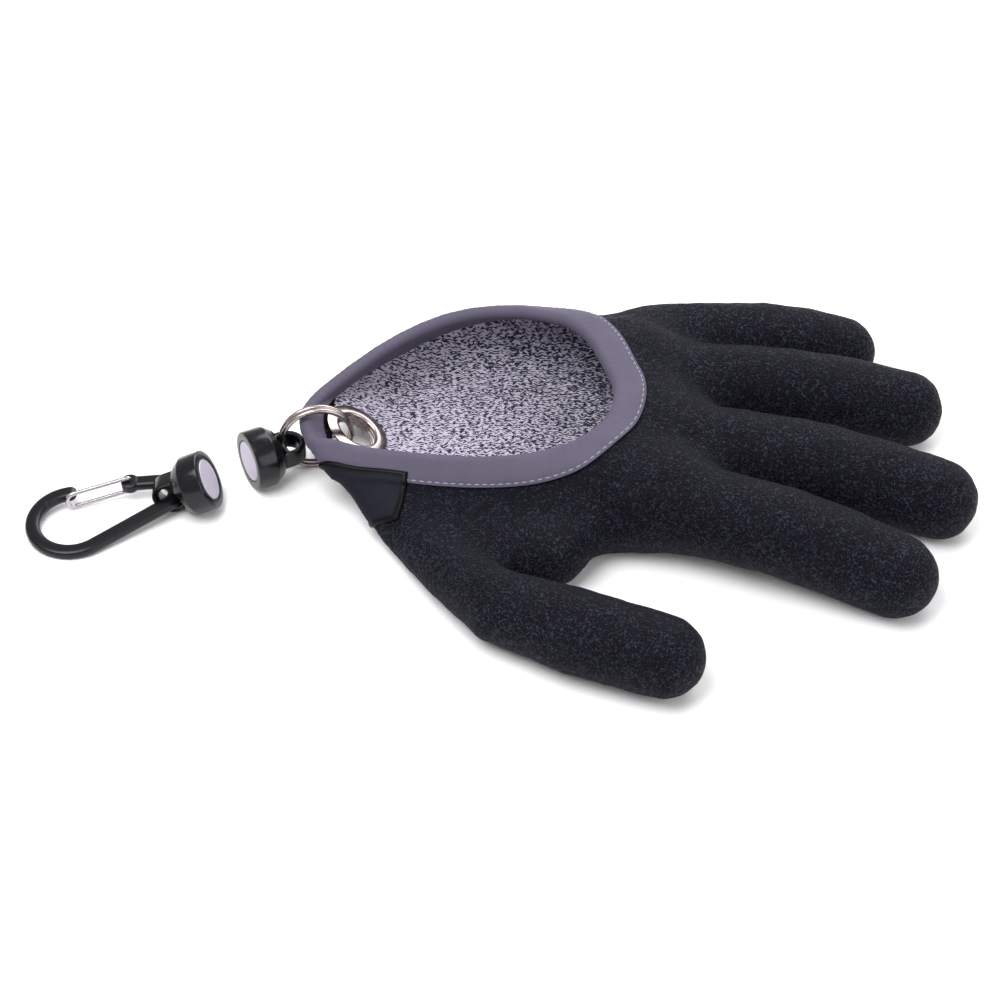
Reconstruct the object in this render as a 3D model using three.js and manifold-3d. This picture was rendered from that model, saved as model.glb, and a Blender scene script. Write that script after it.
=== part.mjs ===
// A fishing glove for the left hand, lying palm down, with its magnetic release clip.
// Millimetres. x runs from the tail at the wrist to the fingertips, y towards the little
// finger, z up from the surface that the glove lies on.
import * as THREE from 'three';
import { mergeVertices } from 'three/addons/utils/BufferGeometryUtils.js';
import Module from 'manifold-3d';

const wasm = await Module();
wasm.setup();

// The hand
const palmLength = 140;
const palmWidth = 98;
const palmDepth = 35;
const fingerLength = 77;
const fingerRadius = 14.6;
const thumbRadius = 14;

// The cloth
const wall = 2.4;
const clearance = 0.3;
const tapeThickness = 0.9;
const tapeLeg = 8.5;
const labelAlongRim = 31;
const labelHeight = 15;
const labelThickness = 1;
const labelFromTail = 22;

// The tail
const tailTilt = THREE.MathUtils.degToRad(30);
const tailBend = 33;
const eyeletAcross = 2.5;
const eyeletHole = 7;
const eyeletFlange = 11.6;
const eyeletMetal = 1.1;

// The split ring
const ringRadius = 12;
const ringWire = 0.9;
const ringTurnGap = 0.2;
const ringYaw = THREE.MathUtils.degToRad(12);

// The two magnet holders
const drumRadius = 10.25;
const drumDepth = 7.7;
const lugRadius = 6.6;
const lugHole = 4.3;
const lugThickness = 6.2;
const lugReach = 14.3;
const magnetRadius = 7;
const magnetThickness = 2;

// The carabiner
const barWidth = 5;
const barThickness = 3.4;
const wideEnd = 13.3;
const smallEnd = 6;
const endSpacing = 30;
const gateWire = 0.75;
const gateSpread = 3;
const gateOverlap = 4;

// Fineness of the glove's outside and inside, coarser along the fingers
const outerCell = new THREE.Vector3(11, 5.8, 7);
const innerCell = new THREE.Vector3(13, 8.5, 9);

// Rows of the fingers: roots as shares of the palm, lengths and radii as shares of the
// longest finger and of its radius, splay in degrees
const fingers = [
  { name: 'index', along: 0.98, across: -0.485, length: 0.82, splay: -23, radius: 1.03 },
  { name: 'middle', along: 0.99, across: -0.145, length: 1, splay: -15, radius: 1 },
  { name: 'ring', along: 1, across: 0.205, length: 0.87, splay: -6, radius: 0.96 },
  { name: 'little', along: 1, across: 0.465, length: 0.62, splay: -0.5, radius: 0.87 },
];

// How a finger curls down to the surface: shares of its length and of the palm's depth
const fingerCurl = [
  { along: -0.35, height: 0.5, radius: 1 },
  { along: 0.4, height: 0.53, radius: 1 },
  { along: 0.72, height: 0.46, radius: 0.98 },
  { along: 1, height: 0.36, radius: 0.95 },
];

// The thumb from the wrist to its tip: shares of the palm's length, width and depth
const thumb = [
  { along: 0.215, across: -0.33, height: 0.16, radius: 0.36 },
  { along: 0.26, across: -0.46, height: 0.18, radius: 0.45 },
  { along: 0.315, across: -0.59, height: 0.22, radius: 0.57 },
  { along: 0.375, across: -0.7, height: 0.26, radius: 0.68 },
  { along: 0.485, across: -0.88, height: 0.34, radius: 0.88 },
  { along: 0.66, across: -1.02, height: 0.4, radius: 1 },
  { along: 0.85, across: -1.13, height: 0.38, radius: 0.97 },
];

// The web between thumb and palm
const thumbWeb = [
  { along: 0.36, across: -0.48, height: 0.18, radius: 0.5 },
  { along: 0.6, across: -0.6, height: 0.28, radius: 0.8 },
];

// Corners of cuff and palm seen from above, inside their rounding
const palmPlan = [
  { along: 0.095, across: -0.03 },
  { along: 0.15, across: -0.15 },
  { along: 0.24, across: -0.3 },
  { along: 0.38, across: -0.44 },
  { along: 0.74, across: -0.37 },
  { along: 0.88, across: -0.34 },
  { along: 0.88, across: 0.36 },
  { along: 0.66, across: 0.39 },
  { along: 0.45, across: 0.43 },
  { along: 0.27, across: 0.28 },
];
const planRounding = 12;
const bellySwell = 5;
const bellyHeight = 0.37 * palmDepth;
const roofCrown = 0.0014;
const roofCentre = 0.05 * palmWidth;

// The thumb's side of the cuff slopes down from this line along the rim
const nearRim = [
  { along: 0.093, across: -0.19, height: 0.585 },
  { along: 0.68, across: -0.36, height: 0.886 },
];

// Softness of the joints between the forms
const fingerBlend = 4;
const palmBlend = 12;
const thumbBlend = 14;
const roofBlend = 10;
const soleBlend = 5;
const tailBlend = 4;

// The rim climbs from the tail to the back of the hand: shares of the palm's depth
const rimAtTail = 0.55;
const rimSlope = 0.25;
const rimRise = 0.54;
const rimTilt = 0.03;
const mouthCentre = new THREE.Vector2(0.43 * palmLength, 0.04 * palmWidth);

const cloth = new THREE.MeshStandardMaterial({ color: 0x1f2126, roughness: 0.6 });
const tape = new THREE.MeshStandardMaterial({ color: 0x6f6a7b, roughness: 0.8 });
const blackTab = new THREE.MeshStandardMaterial({ color: 0x0c0c10, roughness: 0.7 });
const nickel = new THREE.MeshStandardMaterial({ color: 0xb9b2ae, roughness: 0.25, metalness: 1 });
const blackPlastic = new THREE.MeshStandardMaterial({ color: 0x0b0b0e, roughness: 0.2 });
const magnetGrey = new THREE.MeshStandardMaterial({ color: 0xb4aab8, roughness: 0.4, metalness: 0.6 });
const blackMetal = new THREE.MeshStandardMaterial({ color: 0x0e0e12, roughness: 0.35, metalness: 0.6 });
const stainless = new THREE.MeshStandardMaterial({ color: 0xc9c2c6, roughness: 0.2, metalness: 1 });

// Solids, for joins and cuts

function solidOf(geometry) {
  const bare = geometry.clone();
  bare.deleteAttribute('normal');
  bare.deleteAttribute('uv');
  const merged = mergeVertices(bare, 1e-4);
  return new wasm.Manifold(new wasm.Mesh({
    numProp: 3,
    vertProperties: Float32Array.from(merged.attributes.position.array),
    triVerts: Uint32Array.from(merged.index.array),
  }));
}

function geometryOf(solid) {
  const mesh = solid.getMesh();
  const geometry = new THREE.BufferGeometry();
  geometry.setAttribute('position', new THREE.BufferAttribute(Float32Array.from(mesh.vertProperties), 3));
  geometry.setIndex(Array.from(mesh.triVerts));
  return geometry;
}

function geometryFrom(points, faces) {
  const geometry = new THREE.BufferGeometry().setFromPoints(points);
  geometry.setIndex(faces.flat());
  return geometry;
}

function meshOf(name, geometry, material) {
  const mesh = new THREE.Mesh(geometry, material);
  mesh.name = name;
  return mesh;
}

// A ring of sections, closed round the ring and round each section
function closedSweep(sections) {
  const size = sections[0].length;
  const faces = [];
  sections.forEach((section, i) => {
    const next = (i + 1) % sections.length;
    section.forEach((_, j) => {
      const across = (j + 1) % size;
      const corners = [i * size + j, i * size + across, next * size + across, next * size + j];
      faces.push([corners[0], corners[2], corners[1]], [corners[0], corners[3], corners[2]]);
    });
  });
  return geometryFrom(sections.flat(), faces);
}

// A row of sections with flat ends, closed round each section
function cappedSweep(sections) {
  const size = sections[0].length;
  const faces = [];
  for (let i = 0; i + 1 < sections.length; i += 1) {
    for (let j = 0; j < size; j += 1) {
      const across = (j + 1) % size;
      const corners = [i * size + j, i * size + across, (i + 1) * size + across, (i + 1) * size + j];
      faces.push([corners[0], corners[1], corners[2]], [corners[0], corners[2], corners[3]]);
    }
  }
  const half = size / 2;
  const last = (sections.length - 1) * size;
  for (let j = 0; j + 1 < half; j += 1) {
    const ladder = [j, j + 1, size - 2 - j, size - 1 - j];
    faces.push([ladder[0], ladder[2], ladder[1]], [ladder[0], ladder[3], ladder[2]]);
    const end = ladder.map((corner) => corner + last);
    faces.push([end[0], end[1], end[2]], [end[0], end[2], end[3]]);
  }
  return geometryFrom(sections.flat(), faces);
}

function wireAlong(path, radius, sides, steps) {
  const section = new THREE.Shape();
  for (let side = 0; side < sides; side += 1) {
    const angle = (2 * Math.PI * side) / sides;
    const move = side === 0 ? 'moveTo' : 'lineTo';
    section[move](radius * Math.cos(angle), radius * Math.sin(angle));
  }
  return new THREE.ExtrudeGeometry(section, { steps, extrudePath: path, bevelEnabled: false });
}

// The hand's form, as the distance from its skin, negative inside

function smoothMin(a, b, blend) {
  const overlap = Math.max(blend - Math.abs(a - b), 0) / blend;
  return Math.min(a, b) - (overlap * overlap * blend) / 4;
}

function smoothMax(a, b, blend) {
  return -smoothMin(-a, -b, blend);
}

function limbDistance(point, limb) {
  let nearest = Infinity;
  for (let i = 0; i + 1 < limb.length; i += 1) {
    const { centre: from, radius: fromRadius } = limb[i];
    const { centre: to, radius: toRadius } = limb[i + 1];
    const bone = to.clone().sub(from);
    const reach = point.clone().sub(from);
    const share = THREE.MathUtils.clamp(reach.dot(bone) / bone.lengthSq(), 0, 1);
    const distance = reach.addScaledVector(bone, -share).length();
    const flesh = THREE.MathUtils.lerp(fromRadius, toRadius, share);
    nearest = Math.min(nearest, distance - flesh);
  }
  return nearest;
}

function planDistance(x, y) {
  let nearest = Infinity;
  let sign = 1;
  planCorners.forEach((corner, i) => {
    const next = planCorners[(i + 1) % planCorners.length];
    const edge = { x: next.x - corner.x, y: next.y - corner.y };
    const reach = { x: x - corner.x, y: y - corner.y };
    const along = (reach.x * edge.x + reach.y * edge.y) / (edge.x * edge.x + edge.y * edge.y);
    const share = THREE.MathUtils.clamp(along, 0, 1);
    nearest = Math.min(nearest, Math.hypot(reach.x - share * edge.x, reach.y - share * edge.y));
    const above = y >= corner.y;
    const below = y < next.y;
    const left = edge.x * reach.y > edge.y * reach.x;
    if ((above && below && left) || (!above && !below && !left)) sign = -sign;
  });
  return sign * nearest;
}

function palmDistance(point) {
  const rise = (point.z - bellyHeight) / bellyHeight;
  const swell = bellySwell * (1 - rise * rise);
  const side = planDistance(point.x, point.y) - planRounding - Math.max(swell, -bellySwell);
  const thumbSlope = point.clone().sub(nearRimStart).dot(nearRimNormal);
  const across = point.y - roofCentre;
  const roof = point.z - palmDepth + roofCrown * across * across;
  return smoothMax(smoothMax(side, thumbSlope, tailBlend), roof, roofBlend);
}

function handDistance(point) {
  const digits = fingerLimbs.map((limb) => limbDistance(point, limb));
  const allFingers = digits.reduce((a, b) => smoothMin(a, b, fingerBlend));
  const thumbSide = smoothMin(limbDistance(point, thumbLimb), limbDistance(point, webLimb), palmBlend);
  const hand = smoothMin(smoothMin(palmDistance(point), allFingers, palmBlend), thumbSide, thumbBlend);
  const onSurface = smoothMax(hand, -point.z, soleBlend);
  const tailUnderside = (tailBend - point.x) * Math.sin(tailTilt) - point.z * Math.cos(tailTilt);
  return smoothMax(onSurface, tailUnderside, tailBlend);
}

function slope(point) {
  const step = 0.05;
  const axes = ['x', 'y', 'z'].map((axis) => {
    const ahead = point.clone();
    const behind = point.clone();
    ahead[axis] += step;
    behind[axis] -= step;
    return (handDistance(ahead) - handDistance(behind)) / (2 * step);
  });
  return new THREE.Vector3(...axes);
}

function settle(point, level) {
  for (let pass = 0; pass < 3; pass += 1) {
    const gradient = slope(point);
    const miss = handDistance(point) - level;
    point.addScaledVector(gradient, -miss / Math.max(gradient.lengthSq(), 0.25));
  }
  return point;
}

const planCorners = palmPlan.map((row) => ({ x: row.along * palmLength, y: row.across * palmWidth }));

function placeInHand(row) {
  return new THREE.Vector3(row.along * palmLength, row.across * palmWidth, row.height * palmDepth);
}

function limbOf(rows, radius) {
  return rows.map((row) => ({ centre: placeInHand(row), radius: row.radius * radius }));
}

const [nearRimStart, nearRimEnd] = nearRim.map(placeInHand);
const downAndOut = new THREE.Vector3(0, -1, -1);
const nearRimNormal = downAndOut.cross(nearRimEnd.clone().sub(nearRimStart)).normalize();

const thumbLimb = limbOf(thumb, thumbRadius);
const webLimb = limbOf(thumbWeb, thumbRadius);
const fingerLimbs = fingers.map((finger) => {
  const splay = THREE.MathUtils.degToRad(finger.splay);
  const length = finger.length * fingerLength;
  return fingerCurl.map((knuckle) => ({
    centre: new THREE.Vector3(
      finger.along * palmLength + knuckle.along * length * Math.cos(splay),
      finger.across * palmWidth + knuckle.along * length * Math.sin(splay),
      knuckle.height * palmDepth,
    ),
    radius: knuckle.radius * finger.radius * fingerRadius,
  }));
});

// Corners, edges and sides of a cell of the grid that the skin is drawn on
const cellCorners = [0, 1, 2, 3, 4, 5, 6, 7].map((bits) => [bits & 1, (bits >> 1) & 1, (bits >> 2) & 1]);
const cellEdges = [[0, 1], [2, 3], [4, 5], [6, 7], [0, 2], [1, 3], [4, 6], [5, 7], [0, 4], [1, 5], [2, 6], [3, 7]];
const cellSides = [[0, 1, 3, 2], [4, 5, 7, 6], [0, 1, 5, 4], [2, 3, 7, 6], [0, 2, 6, 4], [1, 3, 7, 5]];
const cellEdge = (a, b) => cellEdges.findIndex(([from, to]) => from === Math.min(a, b) && to === Math.max(a, b));

// The edges of a cell that the skin crosses, each with the number of its sheet of skin
function sheetsOf(inside) {
  const sheet = cellEdges.map(([a, b], i) => (inside[a] === inside[b] ? -1 : i));
  const join = (a, b) => {
    const [from, to] = [sheet[a], sheet[b]];
    sheet.forEach((number, i) => {
      if (number === from) sheet[i] = to;
    });
  };
  cellSides.forEach((side) => {
    const around = side.map((corner, i) => cellEdge(corner, side[(i + 1) % 4]));
    const crossed = around.filter((edge) => sheet[edge] >= 0);
    if (crossed.length === 2) join(...crossed);
    if (crossed.length === 4) {
      side.forEach((corner, i) => {
        if (inside[corner]) join(around[i], around[(i + 3) % 4]);
      });
    }
  });
  return sheet;
}

// A closed skin of the hand at one level of the distance
function skin(level, cell) {
  const reach = palmLength + fingerLength + 2 * fingerRadius;
  const low = new THREE.Vector3(0, -1.13 * palmWidth - 2 * thumbRadius, 0).addScaledVector(cell, -2);
  const high = new THREE.Vector3(reach, 0.8 * palmWidth, palmDepth).addScaledVector(cell, 2);
  const count = ['x', 'y', 'z'].map((axis) => Math.ceil((high[axis] - low[axis]) / cell[axis]));
  const [nx, ny, nz] = count;
  const nodeAt = (i, j, k) => (k * (ny + 1) + j) * (nx + 1) + i;
  const place = (i, j, k) => new THREE.Vector3(i, j, k).multiply(cell).add(low);
  const value = new Float64Array((nx + 1) * (ny + 1) * (nz + 1));
  for (let k = 0; k <= nz; k += 1) {
    for (let j = 0; j <= ny; j += 1) {
      for (let i = 0; i <= nx; i += 1) {
        value[nodeAt(i, j, k)] = handDistance(place(i, j, k)) - level;
      }
    }
  }
  const points = [];
  const pointOf = new Map();
  const keyOf = (where, edge) => nodeAt(...where) * cellEdges.length + edge;
  for (let k = 0; k < nz; k += 1) {
    for (let j = 0; j < ny; j += 1) {
      for (let i = 0; i < nx; i += 1) {
        const nodes = cellCorners.map(([x, y, z]) => [i + x, j + y, k + z]);
        const values = nodes.map((node) => value[nodeAt(...node)]);
        const sheets = sheetsOf(values.map((amount) => amount < 0));
        new Set(sheets.filter((number) => number >= 0)).forEach((number) => {
          const crossed = cellEdges.map((_, edge) => edge).filter((edge) => sheets[edge] === number);
          const middle = new THREE.Vector3();
          crossed.forEach((edge) => {
            const [a, b] = cellEdges[edge];
            const crossing = place(...nodes[a]).lerp(place(...nodes[b]), values[a] / (values[a] - values[b]));
            middle.addScaledVector(crossing, 1 / crossed.length);
            pointOf.set(keyOf([i, j, k], edge), points.length);
          });
          points.push(settle(middle, level));
        });
      }
    }
  }
  const faces = [];
  const addFace = (node, step, cells, outward) => {
    const [a, b, c, d] = (outward ? cells : cells.slice().reverse()).map((where) => {
      const corner = node[0] - where[0] + 2 * (node[1] - where[1]) + 4 * (node[2] - where[2]);
      return pointOf.get(keyOf(where, cellEdge(corner, corner + step)));
    });
    if (points[a].distanceTo(points[c]) < points[b].distanceTo(points[d])) faces.push([a, b, c], [a, c, d]);
    else faces.push([a, b, d], [b, c, d]);
  };
  for (let k = 1; k < nz; k += 1) {
    for (let j = 1; j < ny; j += 1) {
      for (let i = 1; i < nx; i += 1) {
        const node = [i, j, k];
        const here = value[nodeAt(i, j, k)] < 0;
        if (here !== value[nodeAt(i + 1, j, k)] < 0) {
          addFace(node, 1, [[i, j - 1, k - 1], [i, j, k - 1], [i, j, k], [i, j - 1, k]], here);
        }
        if (here !== value[nodeAt(i, j + 1, k)] < 0) {
          addFace(node, 2, [[i - 1, j, k - 1], [i - 1, j, k], [i, j, k], [i, j, k - 1]], here);
        }
        if (here !== value[nodeAt(i, j, k + 1)] < 0) {
          addFace(node, 4, [[i - 1, j - 1, k], [i, j - 1, k], [i, j, k], [i - 1, j, k]], here);
        }
      }
    }
  }
  return solidOf(geometryFrom(points, faces));
}

// The rim of the opening, on the middle of the wall

function rimHeight(x, y) {
  const share = x / palmLength;
  return palmDepth * (rimAtTail + rimSlope * share + rimRise * share ** 3) + rimTilt * y;
}

function rimPoint(angle) {
  const at = (distance) => {
    const x = mouthCentre.x + distance * Math.cos(angle);
    const y = mouthCentre.y + distance * Math.sin(angle);
    return new THREE.Vector3(x, y, rimHeight(x, y));
  };
  let inside = 0;
  while (handDistance(at(inside)) < -wall / 2 && inside < palmLength) inside += 1;
  let outside = inside;
  inside -= 1;
  for (let pass = 0; pass < 20; pass += 1) {
    const middle = (inside + outside) / 2;
    if (handDistance(at(middle)) < -wall / 2) inside = middle;
    else outside = middle;
  }
  return at(inside);
}

const rimSteps = 36;
const rimRays = 120;
const rimCurve = new THREE.CatmullRomCurve3(
  Array.from({ length: rimRays }, (_, i) => rimPoint(-Math.PI + (2 * Math.PI * i) / rimRays)),
  true,
);
rimCurve.arcLengthDivisions = 400;

// A path down the wall from the rim: points on the wall's middle with its normals
function wallPath(share, distances) {
  const start = rimCurve.getPointAt(share);
  const tangent = rimCurve.getTangentAt(share);
  const normal = slope(start).normalize();
  const down = tangent.clone().cross(normal).normalize();
  const path = [{ point: start.clone(), normal: normal.clone(), down: down.clone() }];
  let gone = 0;
  const walker = start.clone();
  distances.forEach((distance) => {
    const steps = Math.max(1, Math.round(distance - gone));
    const stride = (distance - gone) / steps;
    for (let step = 0; step < steps; step += 1) {
      settle(walker.addScaledVector(down, stride), -wall / 2);
      normal.copy(slope(walker).normalize());
      down.addScaledVector(normal, -down.dot(normal)).normalize();
    }
    gone = distance;
    path.push({ point: walker.clone(), normal: normal.clone(), down: down.clone() });
  });
  return path;
}

const legStations = [0.36 * tapeLeg, 0.6 * tapeLeg, tapeLeg];
const rimPaths = Array.from({ length: rimSteps }, (_, i) => wallPath(i / rimSteps, legStations));

function offsetPoint(station, height) {
  return station.point.clone().addScaledVector(station.normal, height);
}

// The folded tape's section: outer leg, fold, shorter inner leg and back, grown by a margin
function tapeSection(path, margin) {
  const inner = wall / 2 + clearance - margin;
  const outer = wall / 2 + clearance + tapeThickness + margin;
  const [rim, knee, insideEnd, outsideEnd] = path;
  const foldAt = (angle, radius) => {
    const around = offsetPoint(rim, radius * Math.cos(angle));
    return around.addScaledVector(rim.down, -radius * Math.sin(angle));
  };
  const endAt = (station, height) => offsetPoint(station, height).addScaledVector(station.down, margin);
  const foldAngles = [0.1, 0.37, 0.63, 0.9].map((turn) => turn * Math.PI);
  return [
    endAt(outsideEnd, outer),
    offsetPoint(knee, outer),
    ...foldAngles.map((angle) => foldAt(angle, outer)),
    offsetPoint(knee, -outer),
    endAt(insideEnd, -outer),
    endAt(insideEnd, -inner),
    offsetPoint(knee, -inner),
    ...foldAngles.slice().reverse().map((angle) => foldAt(angle, inner)),
    offsetPoint(knee, inner),
    endAt(outsideEnd, inner),
  ];
}

function bindingGeometry(margin) {
  return closedSweep(rimPaths.map((path) => tapeSection(path, margin)));
}

// A plug that fills the opening, square to the wall along the rim
function openingPlug() {
  const raised = new THREE.Vector3(0, 0, 2 * palmDepth);
  const inside = rimPaths.map((path) => offsetPoint(path[0], -1.4 * wall));
  const outside = rimPaths.map((path) => offsetPoint(path[0], 2 * wall));
  const above = outside.map((point) => point.clone().add(raised));
  const bottom = new THREE.Vector3(mouthCentre.x, mouthCentre.y, 0.72 * palmDepth);
  const top = bottom.clone().add(raised);
  const loops = [inside, outside, above];
  const count = rimPaths.length;
  const faces = [];
  inside.forEach((_, i) => {
    const next = (i + 1) % count;
    [0, count].forEach((loop) => {
      faces.push([loop + i, loop + next, loop + count + next], [loop + i, loop + count + next, loop + count + i]);
    });
    faces.push([next, i, 3 * count], [2 * count + i, 2 * count + next, 3 * count + 1]);
  });
  return solidOf(geometryFrom([...loops.flat(), bottom, top], faces));
}

// Eyelet, about its own axis

const eyeletBarrel = eyeletHole + eyeletMetal;
const eyeletHalf = wall / 2 + clearance;

function eyeletProfile(margin) {
  const outer = eyeletHalf + eyeletMetal + margin;
  const inner = eyeletHalf - margin;
  const bore = eyeletHole - margin;
  const flange = eyeletFlange + margin;
  const barrel = eyeletBarrel + margin;
  const roll = 0.5 * eyeletMetal;
  return [
    [bore, -outer + roll], [bore + roll, -outer], [flange - roll, -outer], [flange, -inner],
    [barrel, -inner], [barrel, inner], [flange, inner], [flange - roll, outer],
    [bore + roll, outer], [bore, outer - roll], [bore, -outer + roll],
  ].map(([x, y]) => new THREE.Vector2(x, y));
}

function eyeletGeometry(margin) {
  return new THREE.LatheGeometry(eyeletProfile(margin), 20).rotateX(Math.PI / 2);
}

const tailTip = rimPoint(Math.PI);
const eyeletAlong = tailTip.x + Math.cos(tailTilt) * (legStations[1] + 3 * clearance + eyeletFlange);
const eyeletPlace = new THREE.Matrix4().makeRotationY(tailTilt).setPosition(
  eyeletAlong,
  eyeletAcross,
  (tailBend - eyeletAlong) * Math.tan(tailTilt) + wall / 2 / Math.cos(tailTilt),
);

function eyelet() {
  const mesh = meshOf('eyelet', eyeletGeometry(0), nickel);
  mesh.applyMatrix4(eyeletPlace);
  return mesh;
}

// The wall of the hand, open at the rim and pierced for the eyelet
function gloveBody() {
  const punch = new THREE.CylinderGeometry(
    eyeletBarrel + clearance,
    eyeletBarrel + clearance,
    6 * wall,
    20,
  ).rotateX(Math.PI / 2);
  const solid = skin(0, outerCell)
    .subtract(skin(-wall, innerCell))
    .subtract(openingPlug())
    .subtract(solidOf(bindingGeometry(clearance)))
    .subtract(solidOf(labelGeometry(clearance)))
    .subtract(solidOf(eyeletGeometry(clearance).applyMatrix4(eyeletPlace)))
    .subtract(solidOf(punch.applyMatrix4(eyeletPlace)));
  const whole = solid.decompose().reduce((a, b) => (a.volume() > b.volume() ? a : b));
  return meshOf('glove_body', geometryOf(whole), cloth);
}

// The tape gives way to the eyelet's flange
function edgeBinding() {
  const flangeRoom = solidOf(eyeletGeometry(clearance).applyMatrix4(eyeletPlace));
  return meshOf('edge_binding', geometryOf(solidOf(bindingGeometry(0)).subtract(flangeRoom)), tape);
}

// The tab hangs from under the tape and follows the wall's outside; it can be grown by a margin
function labelGeometry(margin) {
  const rows = 3;
  const columns = 7;
  const rimLength = rimCurve.getLength();
  const from = tapeLeg + clearance;
  const height = labelHeight + margin;
  const distances = Array.from({ length: rows + 1 }, (_, row) => from + (row * height) / rows);
  const near = wall / 2 + clearance - margin;
  const far = wall / 2 + clearance + labelThickness + margin;
  const sections = Array.from({ length: columns + 1 }, (_, column) => {
    const along = labelFromTail - margin + (column * (labelAlongRim + 2 * margin)) / columns;
    const path = wallPath(along / rimLength, distances).slice(1);
    const outside = path.map((station) => offsetPoint(station, far));
    const inside = path.map((station) => offsetPoint(station, near));
    return [...outside, ...inside.reverse()];
  });
  return cappedSweep(sections);
}

function label() {
  return meshOf('label', labelGeometry(0), blackTab);
}

// Split ring: two turns of wire side by side, in an upright plane through the eyelet

class RingTurns extends THREE.Curve {
  getPoint(share, target = new THREE.Vector3()) {
    const angle = 4 * Math.PI * share;
    const shift = (share - 0.5) * 2 * (ringWire + ringTurnGap / 2) * 2;
    return target.set(ringRadius * Math.cos(angle), shift, ringRadius * Math.sin(angle));
  }
}

function splitRing() {
  const mesh = meshOf('split_ring', wireAlong(new RingTurns(), ringWire, 6, 40), nickel);
  mesh.position.copy(ringCentre);
  mesh.rotation.z = ringYaw;
  return mesh;
}

const ringThroughEyelet = new THREE.Vector3(
  eyeletAlong - 0.15 * eyeletHole,
  eyeletAcross - 0.25 * eyeletHole,
  ringRadius + ringWire,
);
const ringCentre = ringThroughEyelet.clone().add(
  new THREE.Vector3(-Math.cos(ringYaw), -Math.sin(ringYaw), 0).multiplyScalar(ringRadius),
);
const ringLeft = ringCentre.clone().add(
  new THREE.Vector3(-Math.cos(ringYaw), -Math.sin(ringYaw), 0).multiplyScalar(ringRadius),
);

// Magnet holder: its face looks along z, its lug's hole runs along y

function holderGeometry() {
  const chamfer = 0.6;
  const pocketRadius = magnetRadius + clearance;
  const pocketDepth = magnetThickness + clearance;
  const neck = 0.6 * lugRadius;
  const profile = [
    [0, -pocketDepth], [pocketRadius, -pocketDepth], [pocketRadius, 0], [drumRadius - chamfer, 0],
    [drumRadius, -chamfer], [drumRadius, -drumDepth + chamfer], [drumRadius - chamfer, -drumDepth],
    [neck, -lugReach + 0.4 * lugHole], [0, -lugReach + 0.4 * lugHole],
  ].map(([x, y]) => new THREE.Vector2(x, y));
  const drum = new THREE.LatheGeometry(profile.reverse(), 22).rotateX(Math.PI / 2);
  const outline = new THREE.Shape();
  outline.moveTo(-lugRadius, -drumDepth + chamfer);
  outline.lineTo(-lugRadius, -lugReach);
  outline.absarc(0, -lugReach, lugRadius, Math.PI, 2 * Math.PI, false);
  outline.lineTo(lugRadius, -drumDepth + chamfer);
  const lug = new THREE.ExtrudeGeometry(outline, { depth: lugThickness, bevelEnabled: false, curveSegments: 8 });
  lug.translate(0, 0, -lugThickness / 2).rotateX(Math.PI / 2);
  const hole = new THREE.CylinderGeometry(lugHole, lugHole, 3 * lugThickness, 14).translate(0, 0, -lugReach);
  return geometryOf(solidOf(drum).add(solidOf(lug)).subtract(solidOf(hole)));
}

function magnetHolder(half) {
  const place = new THREE.Group();
  place.add(meshOf(`${half}_magnet_holder`, holderGeometry(), blackPlastic));
  const disc = new THREE.CylinderGeometry(magnetRadius, magnetRadius, magnetThickness, 22);
  disc.rotateX(Math.PI / 2).translate(0, 0, -magnetThickness / 2);
  place.add(meshOf(`${half}_magnet`, disc, magnetGrey));
  return place;
}

// The glove's holder lies on its drum, its lug's hole upright round the ring's wire
function gloveHolder() {
  const holder = magnetHolder('glove');
  const faceYaw = THREE.MathUtils.degToRad(207);
  const facing = new THREE.Vector3(Math.cos(faceYaw), Math.sin(faceYaw), 0);
  const upright = new THREE.Vector3(0, 0, 1);
  holder.setRotationFromMatrix(new THREE.Matrix4().makeBasis(upright.clone().cross(facing), upright, facing));
  const play = lugHole - 2 * ringWire - clearance;
  const hole = ringLeft.clone().add(new THREE.Vector3(0.75 * play, -0.6 * play, 0));
  holder.position.copy(hole).addScaledVector(facing, lugReach);
  holder.position.z = drumRadius;
  return holder;
}

// The clip's holder rests on its drum's back edge and on its lug, face up and outwards
const holderPitch = Math.acos(lugRadius / Math.hypot(drumRadius, lugReach - drumDepth))
  - Math.atan2(lugReach - drumDepth, drumRadius);

// Carabiner, flat in its own plane about the centre of its wide end
const wideCentre = new THREE.Vector2(0, 0);
const smallCentre = new THREE.Vector2(endSpacing * Math.cos(0.4), endSpacing * Math.sin(0.4));
const spineTurn = Math.asin((wideEnd - smallEnd) / endSpacing);
const spineAngle = 0.4 + spineTurn;
const noseAngle = THREE.MathUtils.degToRad(88);
const knuckle = new THREE.Vector2(smallCentre.x - 1.6 * smallEnd, smallCentre.y + 0.9 * smallEnd);
const knuckleRadius = 0.62 * barWidth;

function barOutline() {
  const half = barWidth / 2;
  const outline = new THREE.Shape();
  const nearSide = spineAngle - Math.PI / 2;
  outline.absarc(wideCentre.x, wideCentre.y, wideEnd + half, noseAngle, nearSide + 2 * Math.PI, false);
  outline.absarc(smallCentre.x, smallCentre.y, smallEnd + half, nearSide, Math.PI / 2, false);
  outline.absarc(knuckle.x, knuckle.y, knuckleRadius, Math.PI / 2, 1.5 * Math.PI, false);
  outline.absarc(smallCentre.x, smallCentre.y, smallEnd - half, Math.PI / 2, nearSide, true);
  outline.absarc(wideCentre.x, wideCentre.y, wideEnd - half, nearSide + 2 * Math.PI, noseAngle, true);
  return outline;
}

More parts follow.
